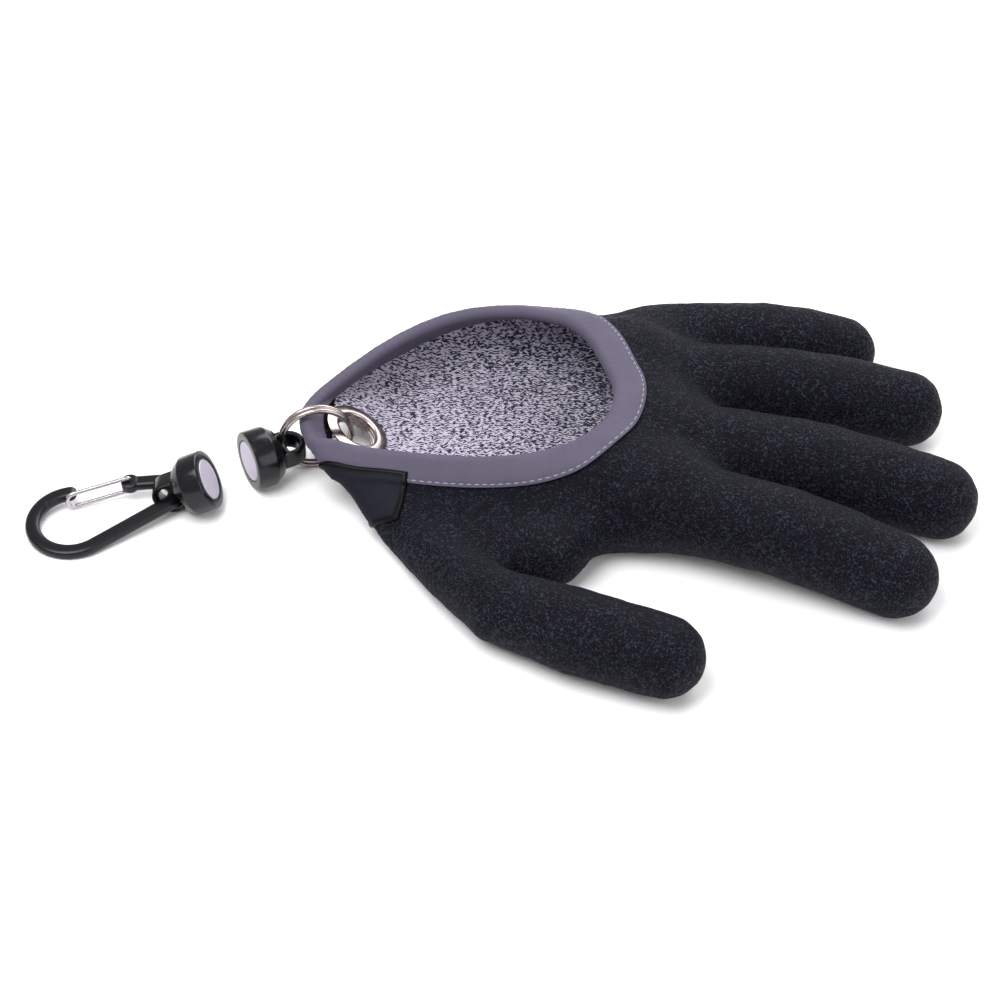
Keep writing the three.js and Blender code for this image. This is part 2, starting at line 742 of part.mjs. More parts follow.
function carabinerBody() {
  const outline = barOutline();
  const bore = new THREE.Path();
  bore.absarc(knuckle.x, knuckle.y, gateWire + clearance, 0, 2 * Math.PI, true);
  outline.holes.push(bore);
  const bevel = 0.5;
  const bar = new THREE.ExtrudeGeometry(outline, {
    depth: barThickness - 2 * bevel,
    bevelEnabled: true,
    bevelThickness: bevel,
    bevelSize: bevel,
    bevelOffset: -bevel,
    bevelSegments: 1,
    curveSegments: 8,
  });
  bar.translate(0, 0, bevel - barThickness / 2);
  return meshOf('carabiner_body', bar, blackMetal);
}

// Wire gate: a long loop above and below the bar, its ends turned into the knuckle
function wireGate() {
  const catchRadius = wideEnd - barWidth / 2 - gateWire - clearance;
  const catchAngle = noseAngle + gateOverlap / wideEnd;
  const catchPoint = new THREE.Vector2(Math.cos(catchAngle), Math.sin(catchAngle)).multiplyScalar(catchRadius);
  const reach = catchPoint.distanceTo(knuckle);
  const bend = 1.6 * gateWire;
  const up = gateSpread;
  const path = new THREE.CurvePath();
  const corner = (a, b, c) => path.add(new THREE.QuadraticBezierCurve3(a, b, c));
  const line = (a, b) => path.add(new THREE.LineCurve3(a, b));
  const at = (along, height) => new THREE.Vector3(along, 0, height);
  line(at(0, 0.25 * barThickness), at(0, up - bend));
  corner(at(0, up - bend), at(0, up), at(bend, up));
  line(at(bend, up), at(reach - up, up));
  corner(at(reach - up, up), at(reach, up), at(reach, 0));
  corner(at(reach, 0), at(reach, -up), at(reach - up, -up));
  line(at(reach - up, -up), at(bend, -up));
  corner(at(bend, -up), at(0, -up), at(0, -up + bend));
  line(at(0, -up + bend), at(0, -0.25 * barThickness));
  const mesh = meshOf('wire_gate', wireAlong(path, gateWire, 6, 36), stainless);
  mesh.position.set(knuckle.x, knuckle.y, 0);
  mesh.rotation.z = Math.atan2(catchPoint.y - knuckle.y, catchPoint.x - knuckle.x);
  return mesh;
}

// The clip half: the carabiner leans on its holder's lug, far side and small end raised
function clipHalf() {
  const carabiner = new THREE.Group();
  carabiner.add(carabinerBody(), wireGate());
  const roll = THREE.MathUtils.degToRad(6);
  const endReach = smallCentre.x + smallEnd + wideEnd;
  const lift = lugRadius - 0.1 * lugHole - barThickness / 2;
  const rollLift = Math.sin(roll) * (smallCentre.y + wideEnd);
  const pitch = Math.asin((lift - rollLift) / endReach);
  carabiner.rotation.set(roll, -pitch, 0);
  carabiner.updateMatrixWorld(true);
  const box = new THREE.Box3().setFromObject(carabiner, true);
  const barEnd = new THREE.Vector3(smallCentre.x + smallEnd, smallCentre.y, 0).applyMatrix4(carabiner.matrixWorld);
  carabiner.position.z = -box.min.z;
  const holder = magnetHolder('clip');
  const facing = new THREE.Vector3(Math.cos(holderPitch), 0, Math.sin(holderPitch));
  const across = new THREE.Vector3(0, 1, 0);
  holder.setRotationFromMatrix(new THREE.Matrix4().makeBasis(across.clone().cross(facing), across, facing));
  holder.position.set(barEnd.x - 0.23 * lugHole, barEnd.y, lugRadius).addScaledVector(facing, lugReach);
  const half = new THREE.Group();
  half.add(carabiner, holder);
  return half;
}

const clip = clipHalf();
clip.position.set(-0.54 * palmLength, -0.36 * palmWidth, 0);

const glove = new THREE.Group();
glove.add(gloveBody(), edgeBinding(), eyelet(), label(), splitRing(), gloveHolder(), clip);
glove.updateMatrixWorld(true);
const extent = new THREE.Box3().setFromObject(glove, true);
const middle = extent.getCenter(new THREE.Vector3());
glove.position.set(-middle.x, -middle.y, -extent.min.z);

export default glove;
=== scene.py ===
# A fishing glove for the left hand, lying palm down, with its magnetic release clip.
# Sizes are in millimetres in the part's own frame: x from the tail at the wrist to the
# fingertips, y towards the little finger, z up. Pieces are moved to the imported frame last.
import math

import bpy
import numpy as np
from mathutils import Matrix, Vector


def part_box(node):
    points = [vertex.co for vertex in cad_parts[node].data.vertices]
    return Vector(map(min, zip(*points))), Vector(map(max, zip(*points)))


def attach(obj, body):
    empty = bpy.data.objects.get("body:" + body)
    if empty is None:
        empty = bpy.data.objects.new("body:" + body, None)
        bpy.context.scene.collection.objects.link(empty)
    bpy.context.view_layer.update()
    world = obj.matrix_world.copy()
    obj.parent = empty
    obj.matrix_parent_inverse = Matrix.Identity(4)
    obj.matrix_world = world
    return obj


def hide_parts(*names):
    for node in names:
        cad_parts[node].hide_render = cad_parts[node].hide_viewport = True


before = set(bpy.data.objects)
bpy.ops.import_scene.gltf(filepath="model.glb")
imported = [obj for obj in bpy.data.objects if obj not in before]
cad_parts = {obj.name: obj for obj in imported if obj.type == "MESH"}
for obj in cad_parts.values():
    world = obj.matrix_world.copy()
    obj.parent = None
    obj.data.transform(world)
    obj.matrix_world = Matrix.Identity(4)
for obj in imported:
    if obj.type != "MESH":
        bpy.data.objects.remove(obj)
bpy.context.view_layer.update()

MM = 0.001

# The hand
PALM_LENGTH = 140.0
PALM_WIDTH = 98.0
PALM_DEPTH = 35.0
FINGER_LENGTH = 77.0
FINGER_RADIUS = 14.6
THUMB_RADIUS = 14.0

# The cloth
WALL = 2.4
CLEARANCE = 0.3
LATEX = 1.1
LINER = 1.2
TAPE_THICKNESS = 0.9
TAPE_LEG = 8.5
INNER_LEG = 5.0
INNER_LEG_AT_HAND = 7.8
INNER_LEG_WIDENS_FROM = 26.0
INNER_LEG_WIDENS_OVER = 20.0
TAPE_RIPPLE = 0.12
TAPE_PUCKER = 0.35
LAP_START = 3.0
LAP_LENGTH = 9.0
LAP_SWELL = 3.2
STITCH_LINE = 7.5
STITCH_PITCH = 2.7
STITCH_LENGTH = 1.9
STITCH_RADIUS = 0.27
LABEL_ALONG_RIM = 31.0
LABEL_HEIGHT = 15.0
LABEL_THICKNESS = 1.0
LABEL_FROM_TAIL = 22.0
LABEL_LAP = 4.2

# The tail
TAIL_TILT = math.radians(30)
TAIL_BEND = 33.0
EYELET_ACROSS = 2.5
EYELET_HOLE = 7.0
EYELET_FLANGE = 11.6
EYELET_METAL = 1.1

# The split ring
RING_RADIUS = 12.0
RING_WIRE = 0.9
RING_TURN_GAP = 0.2
RING_YAW = math.radians(12)
RING_ALONG_HOLE = 0.15 * EYELET_HOLE
RING_ACROSS_HOLE = 0.25 * EYELET_HOLE

# The two magnet holders
DRUM_RADIUS = 10.25
DRUM_DEPTH = 7.7
LUG_RADIUS = 6.6
LUG_HOLE = 4.3
LUG_THICKNESS = 6.2
LUG_REACH = 14.3
MAGNET_RADIUS = 7.0
MAGNET_THICKNESS = 2.0
FACE_YAW = math.radians(207)
HOLDER_PLAY = (0.75, -0.6)

# The carabiner
BAR_WIDTH = 5.0
BAR_THICKNESS = 3.4
WIDE_END = 13.3
SMALL_END = 6.0
END_SPACING = 30.0
END_TURN = 0.4
KNUCKLE_BACK = 1.6 * SMALL_END
KNUCKLE_ACROSS = 0.9 * SMALL_END
KNUCKLE_RADIUS = 0.62 * BAR_WIDTH
NOSE_TIP = 0.12
GATE_WIRE = 0.75
GATE_SPREAD = 3.0
GATE_OVERLAP = 4.0
NOSE_ANGLE = math.radians(88)
CLIP_ROLL = math.radians(6)
CLIP_PLACE = (-0.54 * PALM_LENGTH, -0.36 * PALM_WIDTH)
BAR_LOW_IN_HOLE = 0.1 * LUG_HOLE
BAR_BACK_IN_HOLE = 0.23 * LUG_HOLE

# Fineness of the two skins of the glove, and of the rim that they end at
LATEX_CELL = 1.4
LINER_CELL = 2.0
RIM_RAYS = 720
RIM_COUNT = 440
WALK = 0.5

# Unevenness of the latex: height, seed, number of waves, shortest and longest wave
LATEX_WAVES = [(0.16, 11, 14, 9, 26), (0.07, 12, 16, 3.4, 6)]
LATEX_SINK = 0.25

# Where the skins end under the tape: below the rim, beyond it, and far below it
SKIN_DROP = 0.4
SKIN_REACH = 0.6 * TAPE_LEG
SKIN_FLOOR = 0.12 * PALM_DEPTH

# Fingers: roots as shares of the palm, length and radius as shares, splay in degrees
FINGERS = {
    "index": (0.98, -0.485, 0.82, -23, 1.03),
    "middle": (0.99, -0.145, 1, -15, 1),
    "ring": (1, 0.205, 0.87, -6, 0.96),
    "little": (1, 0.465, 0.62, -0.5, 0.87),
}
FINGER_CURL = [(-0.35, 0.5, 1), (0.4, 0.53, 1), (0.72, 0.46, 0.98), (1, 0.36, 0.95)]

# The thumb and its web: along, across, height and radius as shares
THUMB = [
    (0.215, -0.33, 0.16, 0.36),
    (0.26, -0.46, 0.18, 0.45),
    (0.315, -0.59, 0.22, 0.57),
    (0.375, -0.7, 0.26, 0.68),
    (0.485, -0.88, 0.34, 0.88),
    (0.66, -1.02, 0.4, 1),
    (0.85, -1.13, 0.38, 0.97),
]
THUMB_WEB = [(0.36, -0.48, 0.18, 0.5), (0.6, -0.6, 0.28, 0.8)]

# Corners of cuff and palm seen from above, inside their rounding
PALM_PLAN = [
    (0.095, -0.03),
    (0.15, -0.15),
    (0.24, -0.3),
    (0.38, -0.44),
    (0.74, -0.37),
    (0.88, -0.34),
    (0.88, 0.36),
    (0.66, 0.39),
    (0.45, 0.43),
    (0.27, 0.28),
]
PLAN_ROUNDING = 12.0
FAR_SIDE = 0.1 * PALM_WIDTH
BELLY_SWELL = 5.0
BELLY_HEIGHT = 0.37 * PALM_DEPTH
ROOF_CROWN = 0.0014
ROOF_CENTRE = 0.05 * PALM_WIDTH
NEAR_RIM = [(0.093, -0.19, 0.585), (0.68, -0.36, 0.886)]

# Softness of the joints between the forms
FINGER_BLEND = 4.0
PALM_BLEND = 12.0
THUMB_BLEND = 14.0
ROOF_BLEND = 10.0
SOLE_BLEND = 5.0
TAIL_BLEND = 4.0

# The rim climbs from the tail to the back of the hand
RIM_AT_TAIL = 0.55
RIM_SLOPE = 0.25
RIM_RISE = 0.54
RIM_TILT = 0.03
RIM_SPREAD = 11.0
RIM_KEPT_AT_TAIL = 12.0
MOUTH_CENTRE = (0.43 * PALM_LENGTH, 0.04 * PALM_WIDTH)

# Camera, floor and light, in metres
CAMERA_TARGET = Vector((0.0, 0.012, 0.0))
CAMERA_ELEVATION = math.radians(41)
CAMERA_DISTANCE = 1.05
FOCAL_LENGTH = 111.5
SENSOR_WIDTH = 36
WORLD_STRENGTH = 0.62
FLOOR_REACH = 4.0
LAMPS = [
    ("key_light", (-0.35, -0.25, 0.95), 0.7, 11.0),
    ("back_light", (0.35, 0.75, 0.7), 0.8, 9.0),
    ("fill_light", (0.8, -0.6, 0.5), 0.8, 4.0),
]


# The hand's form, as the distance from its skin, negative inside


def smooth_min(a, b, blend):
    overlap = np.maximum(blend - np.abs(a - b), 0) / blend
    return np.minimum(a, b) - overlap * overlap * blend / 4


def smooth_max(a, b, blend):
    return -smooth_min(-a, -b, blend)


def in_hand(along, across, height):
    return np.array([along * PALM_LENGTH, across * PALM_WIDTH, height * PALM_DEPTH])


def limb_of(rows, radius):
    return [(in_hand(along, across, height), share * radius) for along, across, height, share in rows]


def finger_limb(along, across, length, splay, radius):
    turn = math.radians(splay)
    reach = length * FINGER_LENGTH
    root = in_hand(along, across, 0)
    limb = []
    for share, height, width in FINGER_CURL:
        centre = root + np.array([
            share * reach * math.cos(turn),
            share * reach * math.sin(turn),
            height * PALM_DEPTH,
        ])
        limb.append((centre, width * radius * FINGER_RADIUS))
    return limb


FINGER_LIMBS = [finger_limb(*row) for row in FINGERS.values()]
THUMB_LIMB = limb_of(THUMB, THUMB_RADIUS)
WEB_LIMB = limb_of(THUMB_WEB, THUMB_RADIUS)


def fair_corners(corners):
    """The far side's corners, cut twice so that the cloth runs in a curve."""
    for _ in range(2):
        cut = []
        befores = np.roll(corners, 1, axis=0)
        afters = np.roll(corners, -1, axis=0)
        for before, corner, after in zip(befores, corners, afters):
            if corner[1] > FAR_SIDE:
                cut += [corner * 0.75 + before * 0.25, corner * 0.75 + after * 0.25]
            else:
                cut.append(corner)
        corners = np.array(cut)
    return corners


PLAN_CORNERS = fair_corners(np.array(PALM_PLAN) * (PALM_LENGTH, PALM_WIDTH))
near_start, near_end = [in_hand(*row) for row in NEAR_RIM]
near_normal = np.cross([0, -1, -1], near_end - near_start)
near_normal /= np.linalg.norm(near_normal)


def limb_distance(points, limb):
    nearest = np.full(len(points), np.inf)
    for (start, start_radius), (end, end_radius) in zip(limb, limb[1:]):
        bone = end - start
        reach = points - start
        share = np.clip(reach @ bone / (bone @ bone), 0, 1)
        distance = np.linalg.norm(reach - share[:, None] * bone, axis=1)
        flesh = start_radius + (end_radius - start_radius) * share
        nearest = np.minimum(nearest, distance - flesh)
    return nearest


def plan_distance(places):
    nearest = np.full(len(places), np.inf)
    sign = np.ones(len(places))
    for corner, following in zip(PLAN_CORNERS, np.roll(PLAN_CORNERS, -1, axis=0)):
        edge = following - corner
        reach = places - corner
        share = np.clip(reach @ edge / (edge @ edge), 0, 1)
        nearest = np.minimum(nearest, np.linalg.norm(reach - share[:, None] * edge, axis=1))
        above = places[:, 1] >= corner[1]
        below = places[:, 1] < following[1]
        left = edge[0] * reach[:, 1] > edge[1] * reach[:, 0]
        sign[(above & below & left) | (~above & ~below & ~left)] *= -1
    return sign * nearest


def palm_distance(points):
    rise = (points[:, 2] - BELLY_HEIGHT) / BELLY_HEIGHT
    swell = np.maximum(BELLY_SWELL * (1 - rise * rise), -BELLY_SWELL)
    side = plan_distance(points[:, :2]) - PLAN_ROUNDING - swell
    thumb_slope = (points - near_start) @ near_normal
    across = points[:, 1] - ROOF_CENTRE
    roof = points[:, 2] - PALM_DEPTH + ROOF_CROWN * across * across
    return smooth_max(smooth_max(side, thumb_slope, TAIL_BLEND), roof, ROOF_BLEND)


def hand_distance(points):
    digits = limb_distance(points, FINGER_LIMBS[0])
    for limb in FINGER_LIMBS[1:]:
        digits = smooth_min(digits, limb_distance(points, limb), FINGER_BLEND)
    web = limb_distance(points, WEB_LIMB)
    thumb_side = smooth_min(limb_distance(points, THUMB_LIMB), web, PALM_BLEND)
    hand = smooth_min(smooth_min(palm_distance(points), digits, PALM_BLEND), thumb_side, THUMB_BLEND)
    on_surface = smooth_max(hand, -points[:, 2], SOLE_BLEND)
    underside = (TAIL_BEND - points[:, 0]) * math.sin(TAIL_TILT) - points[:, 2] * math.cos(TAIL_TILT)
    return smooth_max(on_surface, underside, TAIL_BLEND)


def slope(points):
    step = 0.05
    columns = []
    for axis in range(3):
        move = np.zeros(3)
        move[axis] = step
        columns.append((hand_distance(points + move) - hand_distance(points - move)) / (2 * step))
    return np.stack(columns, axis=1)


def unit(vectors):
    return vectors / np.linalg.norm(vectors, axis=1, keepdims=True)


def settle(points, level):
    for _ in range(3):
        gradient = slope(points)
        miss = hand_distance(points) - level
        steep = np.maximum((gradient * gradient).sum(axis=1), 0.25)
        points = points - gradient * (miss / steep)[:, None]
    return points


def rim_height(x, y):
    share = x / PALM_LENGTH
    return PALM_DEPTH * (RIM_AT_TAIL + RIM_SLOPE * share + RIM_RISE * share**3) + RIM_TILT * y


# Meshes


def move_to_frame():
    """How far the part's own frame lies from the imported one: the eyelet shows it."""
    low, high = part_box("eyelet")
    centre = (np.array(low) + np.array(high)) / 2 / MM
    return centre - np.array(eyelet_place.translation)


def in_scene(name, data):
    made = bpy.data.objects.new(name, data)
    bpy.context.scene.collection.objects.link(made)
    return made


def piece(name, points, faces, finish, replaces=(), body="glove", sharp=40):
    mesh = bpy.data.meshes.new(name)
    mesh.from_pydata(((np.asarray(points) + shift) * MM).tolist(), [], [tuple(face) for face in faces])
    mesh.update()
    made = in_scene(name, mesh)
    mesh.materials.append(finish)
    mesh.shade_smooth()
    mesh.set_sharp_from_angle(angle=math.radians(sharp))
    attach(made, body)
    if replaces:
        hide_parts(*replaces)
    return made


def placed(points, place):
    turned = np.array(place.to_3x3())
    return np.asarray(points) @ turned.T + np.array(place.translation)


def swept_faces(stations, around, closed_along):
    faces = []
    for i in range(stations if closed_along else stations - 1):
        ahead = (i + 1) % stations
        for j in range(around):
            across = (j + 1) % around
            here, there = i * around, ahead * around
            faces.append((here + j, there + j, there + across, here + across))
    return faces


def capped_tube(path, section_at):
    """A tube along a path with flat ends; section_at gives each station's ring of points."""
    rings = [section_at(i) for i in range(len(path))]
    around = len(rings[0])
    faces = [face[::-1] for face in swept_faces(len(path), around, False)]
    faces.append(tuple(range(around)))
    faces.append(tuple(range((len(path) - 1) * around, len(path) * around))[::-1])
    return np.concatenate(rings), faces


def round_tube(path, radius, sides, up=(0, 0, 1)):
    """A round wire along a path, its section kept from twisting."""
    path = np.asarray(path, dtype=float)
    tangents = unit(np.gradient(path, axis=0))
    side = np.cross(tangents[0], up)
    if np.linalg.norm(side) < 0.1:
        side = np.cross(tangents[0], (0, 1, 0))
    side = side / np.linalg.norm(side)
    sides_at = []
    for tangent in tangents:
        side = side - tangent * (side @ tangent)
        side = side / np.linalg.norm(side)
        sides_at.append(side)
    angles = np.linspace(0, 2 * math.pi, sides, endpoint=False)

    def ring(i):
        over = np.cross(tangents[i], sides_at[i])
        turned = np.outer(np.cos(angles), sides_at[i]) + np.outer(np.sin(angles), over)
        return path[i] + radius * turned

    return capped_tube(path, ring)


def lathed(profile, steps):
    """A closed profile of (radius, height) turned about z; points on the axis close it."""
    profile = np.asarray(profile, dtype=float)
    angles = np.linspace(0, 2 * math.pi, steps, endpoint=False)
    points = []
    index = []
    for radius, height in profile:
        if radius == 0:
            index.append([len(points)] * steps)
            points.append((0, 0, height))
            continue
        index.append(list(range(len(points), len(points) + steps)))
        points += [(radius * math.cos(a), radius * math.sin(a), height) for a in angles]
    faces = []
    closed = profile[0][0] != 0
    for row in range(len(profile) if closed else len(profile) - 1):
        here, above = index[row], index[(row + 1) % len(profile)]
        for i in range(steps):
            following = (i + 1) % steps
            corners = [here[i], here[following], above[following], above[i]]
            faces.append(tuple(dict.fromkeys(corners)))
    return np.array(points), faces


def skin_net(level, cell):
    """The hand's skin at one level of the distance, as one quad mesh."""
    low = np.array([-8.0, -1.13 * PALM_WIDTH - 1.6 * THUMB_RADIUS, -3.0])
    farthest = PALM_LENGTH + FINGER_LENGTH + 1.4 * FINGER_RADIUS
    high = np.array([farthest, 0.76 * PALM_WIDTH, 1.15 * PALM_DEPTH])
    counts = np.ceil((high - low) / cell).astype(int) + 1
    axes = [low[axis] + cell * np.arange(counts[axis]) for axis in range(3)]
    nodes = np.stack(np.meshgrid(*axes, indexing="ij"), axis=-1)
    value = hand_distance(nodes.reshape(-1, 3)).reshape(counts) - level
    inside = value < 0
    total = np.zeros((*(counts - 1), 3))
    crossings = np.zeros(tuple(counts - 1))
    crossed = []
    for axis in range(3):
        behind = [slice(None)] * 3
        ahead = [slice(None)] * 3
        behind[axis] = slice(None, -1)
        ahead[axis] = slice(1, None)
        behind, ahead = tuple(behind), tuple(ahead)
        change = inside[behind] != inside[ahead]
        span = value[behind] - value[ahead]
        share = np.where(change, value[behind] / np.where(span == 0, 1, span), 0)
        place = nodes[behind].copy()
        place[..., axis] += cell * share
        crossed.append(change)
        others = [other for other in range(3) if other != axis]
        for first in (0, 1):
            for second in (0, 1):
                window = [slice(None)] * 3
                window[others[0]] = slice(first, counts[others[0]] - 1 + first)
                window[others[1]] = slice(second, counts[others[1]] - 1 + second)
                window = tuple(window)
                total += np.where(change[window][..., None], place[window], 0)
                crossings += change[window]
    used = crossings > 0
    number = np.full(used.shape, -1)
    number[used] = np.arange(used.sum())
    points = settle(total[used] / crossings[used][:, None], level)
    around = [
        [(0, -1, -1), (0, 0, -1), (0, 0, 0), (0, -1, 0)],
        [(-1, 0, -1), (-1, 0, 0), (0, 0, 0), (0, 0, -1)],
        [(-1, -1, 0), (0, -1, 0), (0, 0, 0), (-1, 0, 0)],
    ]
    faces = []
    for axis in range(3):
        where = np.argwhere(crossed[axis])
        outward = inside[tuple(where.T)]
        quads = np.stack([number[tuple((where + move).T)] for move in around[axis]], axis=1)
        quads[~outward] = quads[~outward][:, ::-1]
        faces.append(quads)
    return points, np.concatenate(faces)


def open_skin(level, cell):
    """The skin with the wrist's opening and the eyelet's hole left out."""
    points, faces = skin_net(level, cell)
    middles = points[faces].mean(axis=1)
    bearing, distance = around_mouth(middles)
    rim_distance = np.interp(bearing, *rim_reach, period=2 * math.pi)
    above = middles[:, 2] - rim_height(middles[:, 0], middles[:, 1])
    under_tape = (above < -SKIN_DROP) | (distance > rim_distance + SKIN_REACH)
    below_rim = ((distance > rim_distance) & under_tape) | (above < -SKIN_FLOOR)
    from_eyelet = placed(middles, eyelet_place.inverted())
    radius = np.hypot(from_eyelet[:, 0], from_eyelet[:, 1])
    pierced = (radius < EYELET_HOLE + EYELET_METAL + CLEARANCE) & (np.abs(from_eyelet[:, 2]) < 3 * WALL)
    faces = faces[below_rim & ~pierced]
    used, faces = np.unique(faces, return_inverse=True)
    return points[used], faces.reshape(-1, 4)


def ripple(points, seed, count, shortest, longest):
    """Slight unevenness: a sum of seeded plane waves, about -1 to 1."""
    random = np.random.default_rng(seed)
    total = np.zeros(len(points))
    for _ in range(count):
        direction = random.normal(size=3)
        direction /= np.linalg.norm(direction)
        length = random.uniform(shortest, longest)
        total += np.sin(points @ direction * 2 * math.pi / length + random.uniform(0, 2 * math.pi))
    return total / math.sqrt(count)


# The rim of the opening, on the middle of the wall


def rim_points(angles):
    directions = np.stack([np.cos(angles), np.sin(angles)], axis=1)

    def at(distance):
        flat = np.array(MOUTH_CENTRE) + directions * distance[:, None]
        return np.column_stack([flat, rim_height(flat[:, 0], flat[:, 1])])

    distance = np.zeros(len(angles))
    walking = np.ones(len(angles), dtype=bool)
    while walking.any() and distance.max() < PALM_LENGTH:
        walking &= hand_distance(at(distance)) < -WALL / 2
        distance[walking] += 1
    inner, outer = distance - 1, distance.copy()
    for _ in range(16):
        middle = (inner + outer) / 2
        within = hand_distance(at(middle)) < -WALL / 2
        inner = np.where(within, middle, inner)
        outer = np.where(within, outer, middle)
    return at(inner)


def evenly_round(loop, count):
    closed = np.vstack([loop, loop[:1]])
    lengths = np.concatenate([[0], np.cumsum(np.linalg.norm(np.diff(closed, axis=0), axis=1))])
    stations = np.linspace(0, lengths[-1], count, endpoint=False)
    even = np.column_stack([np.interp(stations, lengths, closed[:, axis]) for axis in range(3)])
    return even, lengths[-1]


def smooth_loop(loop, count, spread):
    """The rim made even and fair: a soft average along it, laid back on the wall."""
    even, length = evenly_round(loop, count)
    station = np.arange(count) * length / count
    apart = np.minimum(station, length - station)
    weight = np.exp(-0.5 * (apart / spread) ** 2)
    weight /= weight.sum()
    soft = np.fft.irfft(np.fft.rfft(even, axis=0) * np.fft.rfft(weight)[:, None], count, axis=0)
    tail = np.exp(-0.5 * (apart / RIM_KEPT_AT_TAIL) ** 2)[:, None]
    return evenly_round(settle(even * tail + soft * (1 - tail), -WALL / 2), count)


def around_mouth(points):
    """Bearing and distance from the middle of the opening, seen from above."""
    flat = points[:, :2] - MOUTH_CENTRE
    return np.arctan2(flat[:, 1], flat[:, 0]), np.hypot(flat[:, 0], flat[:, 1])


def wall_paths(starts, tangents, reach):
    """Paths down the wall from the rim: places, normals and directions at every step."""
    normals = unit(slope(starts))
    downs = unit(np.cross(tangents, normals))
    rows = [(starts, normals, downs)]
    walkers = starts
    for _ in range(int(round(reach / WALK))):
        walkers = settle(walkers + downs * WALK, -WALL / 2)
        normals = unit(slope(walkers))
        downs = unit(downs - normals * (downs * normals).sum(axis=1, keepdims=True))
        rows.append((walkers, normals, downs))
    return rows


# Places of the hardware

tail_tip = rim_points(np.array([math.pi]))[0]
eyelet_along = tail_tip[0] + math.cos(TAIL_TILT) * (0.6 * TAPE_LEG + 3 * CLEARANCE + EYELET_FLANGE)
eyelet_place = Matrix.Translation((
    eyelet_along,
    EYELET_ACROSS,
    (TAIL_BEND - eyelet_along) * math.tan(TAIL_TILT) + WALL / 2 / math.cos(TAIL_TILT),
)) @ Matrix.Rotation(TAIL_TILT, 4, "Y")
shift = move_to_frame()

ring_back = Vector((-math.cos(RING_YAW), -math.sin(RING_YAW), 0))
ring_at_eyelet = Vector((
    eyelet_along - RING_ALONG_HOLE,
    EYELET_ACROSS - RING_ACROSS_HOLE,
    RING_RADIUS + RING_WIRE,
))
ring_centre = ring_at_eyelet + RING_RADIUS * ring_back
ring_left = ring_centre + RING_RADIUS * ring_back

# Finishes


def add_node(tree, kind, settings=None, inputs=None):
    """One node: its settings first, then its sockets' values or links."""
    made = tree.nodes.new(kind)
    for key, setting in (settings or {}).items():
        setattr(made, key, setting)
    for key, given in (inputs or {}).items():
        if isinstance(given, Value):
            given = given.socket
        if isinstance(given, bpy.types.NodeSocket):
            tree.links.new(given, made.inputs[key])
        else:
            made.inputs[key].default_value = given
    return made


class Value:
    """A number that changes over a surface; sums and products add their Math nodes."""

    def __init__(self, finish, socket):
        self.finish = finish
        self.socket = socket

    def worked_out(self, operation, *terms):
        made = self.finish.node("ShaderNodeMath", {"operation": operation}, dict(enumerate(terms)))
        return Value(self.finish, made.outputs[0])

    def math(self, operation, *others):
        return self.worked_out(operation, self, *others)

    def __add__(self, other):
        return self.math("ADD", other)

    __radd__ = __add__

    def __sub__(self, other):
        return self.math("SUBTRACT", other)

    def __rsub__(self, other):
        return self.worked_out("SUBTRACT", other, self)

    def __mul__(self, other):
        return self.math("MULTIPLY", other)

    __rmul__ = __mul__

    def __abs__(self):
        return self.math("ABSOLUTE")

    def step(self, low, high):
        """Softly from 0 below low to 1 above high."""
        made = self.finish.node(
            "ShaderNodeMapRange",
            {"interpolation_type": "SMOOTHSTEP"},
            {"Value": self, "From Min": low, "From Max": high},
        )
        return Value(self.finish, made.outputs[0])


class Finish:
    """One material, made from nodes."""

    def __init__(self, name):
        self.material = bpy.data.materials.new(name)
        self.material.use_nodes = True
        self.tree = self.material.node_tree
        self.tree.nodes.clear()

    def node(self, kind, settings=None, inputs=None):
        return add_node(self.tree, kind, settings, inputs)

    def place(self, stretch=(1, 1, 1), turn=(0, 0, 0)):
        """Object coordinates in millimetres, stretched and turned."""
        where = self.node("ShaderNodeTexCoord").outputs["Object"]
        scale = tuple(amount / MM for amount in stretch)
        inputs = {"Vector": where, "Scale": scale, "Rotation": turn}
        return self.node("ShaderNodeMapping", None, inputs).outputs[0]

    def axis(self, vector, name):
        return Value(self, self.node("ShaderNodeSeparateXYZ", None, {0: vector}).outputs[name])

    def noise(self, vector, scale, detail=2.0, roughness=0.5):
        made = self.node(
            "ShaderNodeTexNoise",
            None,
            {"Vector": vector, "Scale": scale, "Detail": detail, "Roughness": roughness},
        )
        return Value(self, made.outputs[0])

    def blend(self, share, first, second):
        """A colour between two colours or links."""
        made = self.node("ShaderNodeMix", {"data_type": "RGBA"}, {0: share, 6: first, 7: second})
        return made.outputs[2]

    def bump(self, height, distance, strength=1.0):
        made = self.node(
            "ShaderNodeBump",
            None,
            {"Height": height, "Distance": distance * MM, "Strength": strength},
        )
        return made.outputs[0]

    def surface(self, **inputs):
        named = {}
        for key, given in inputs.items():
            named[key.replace("_", " ").title().replace("Ior", "IOR")] = given
        shader = self.node("ShaderNodeBsdfPrincipled", None, named)
        self.node("ShaderNodeOutputMaterial", None, {"Surface": shader.outputs[0]})
        return self.material


def colour(red, green, blue):
    return (red, green, blue, 1.0)


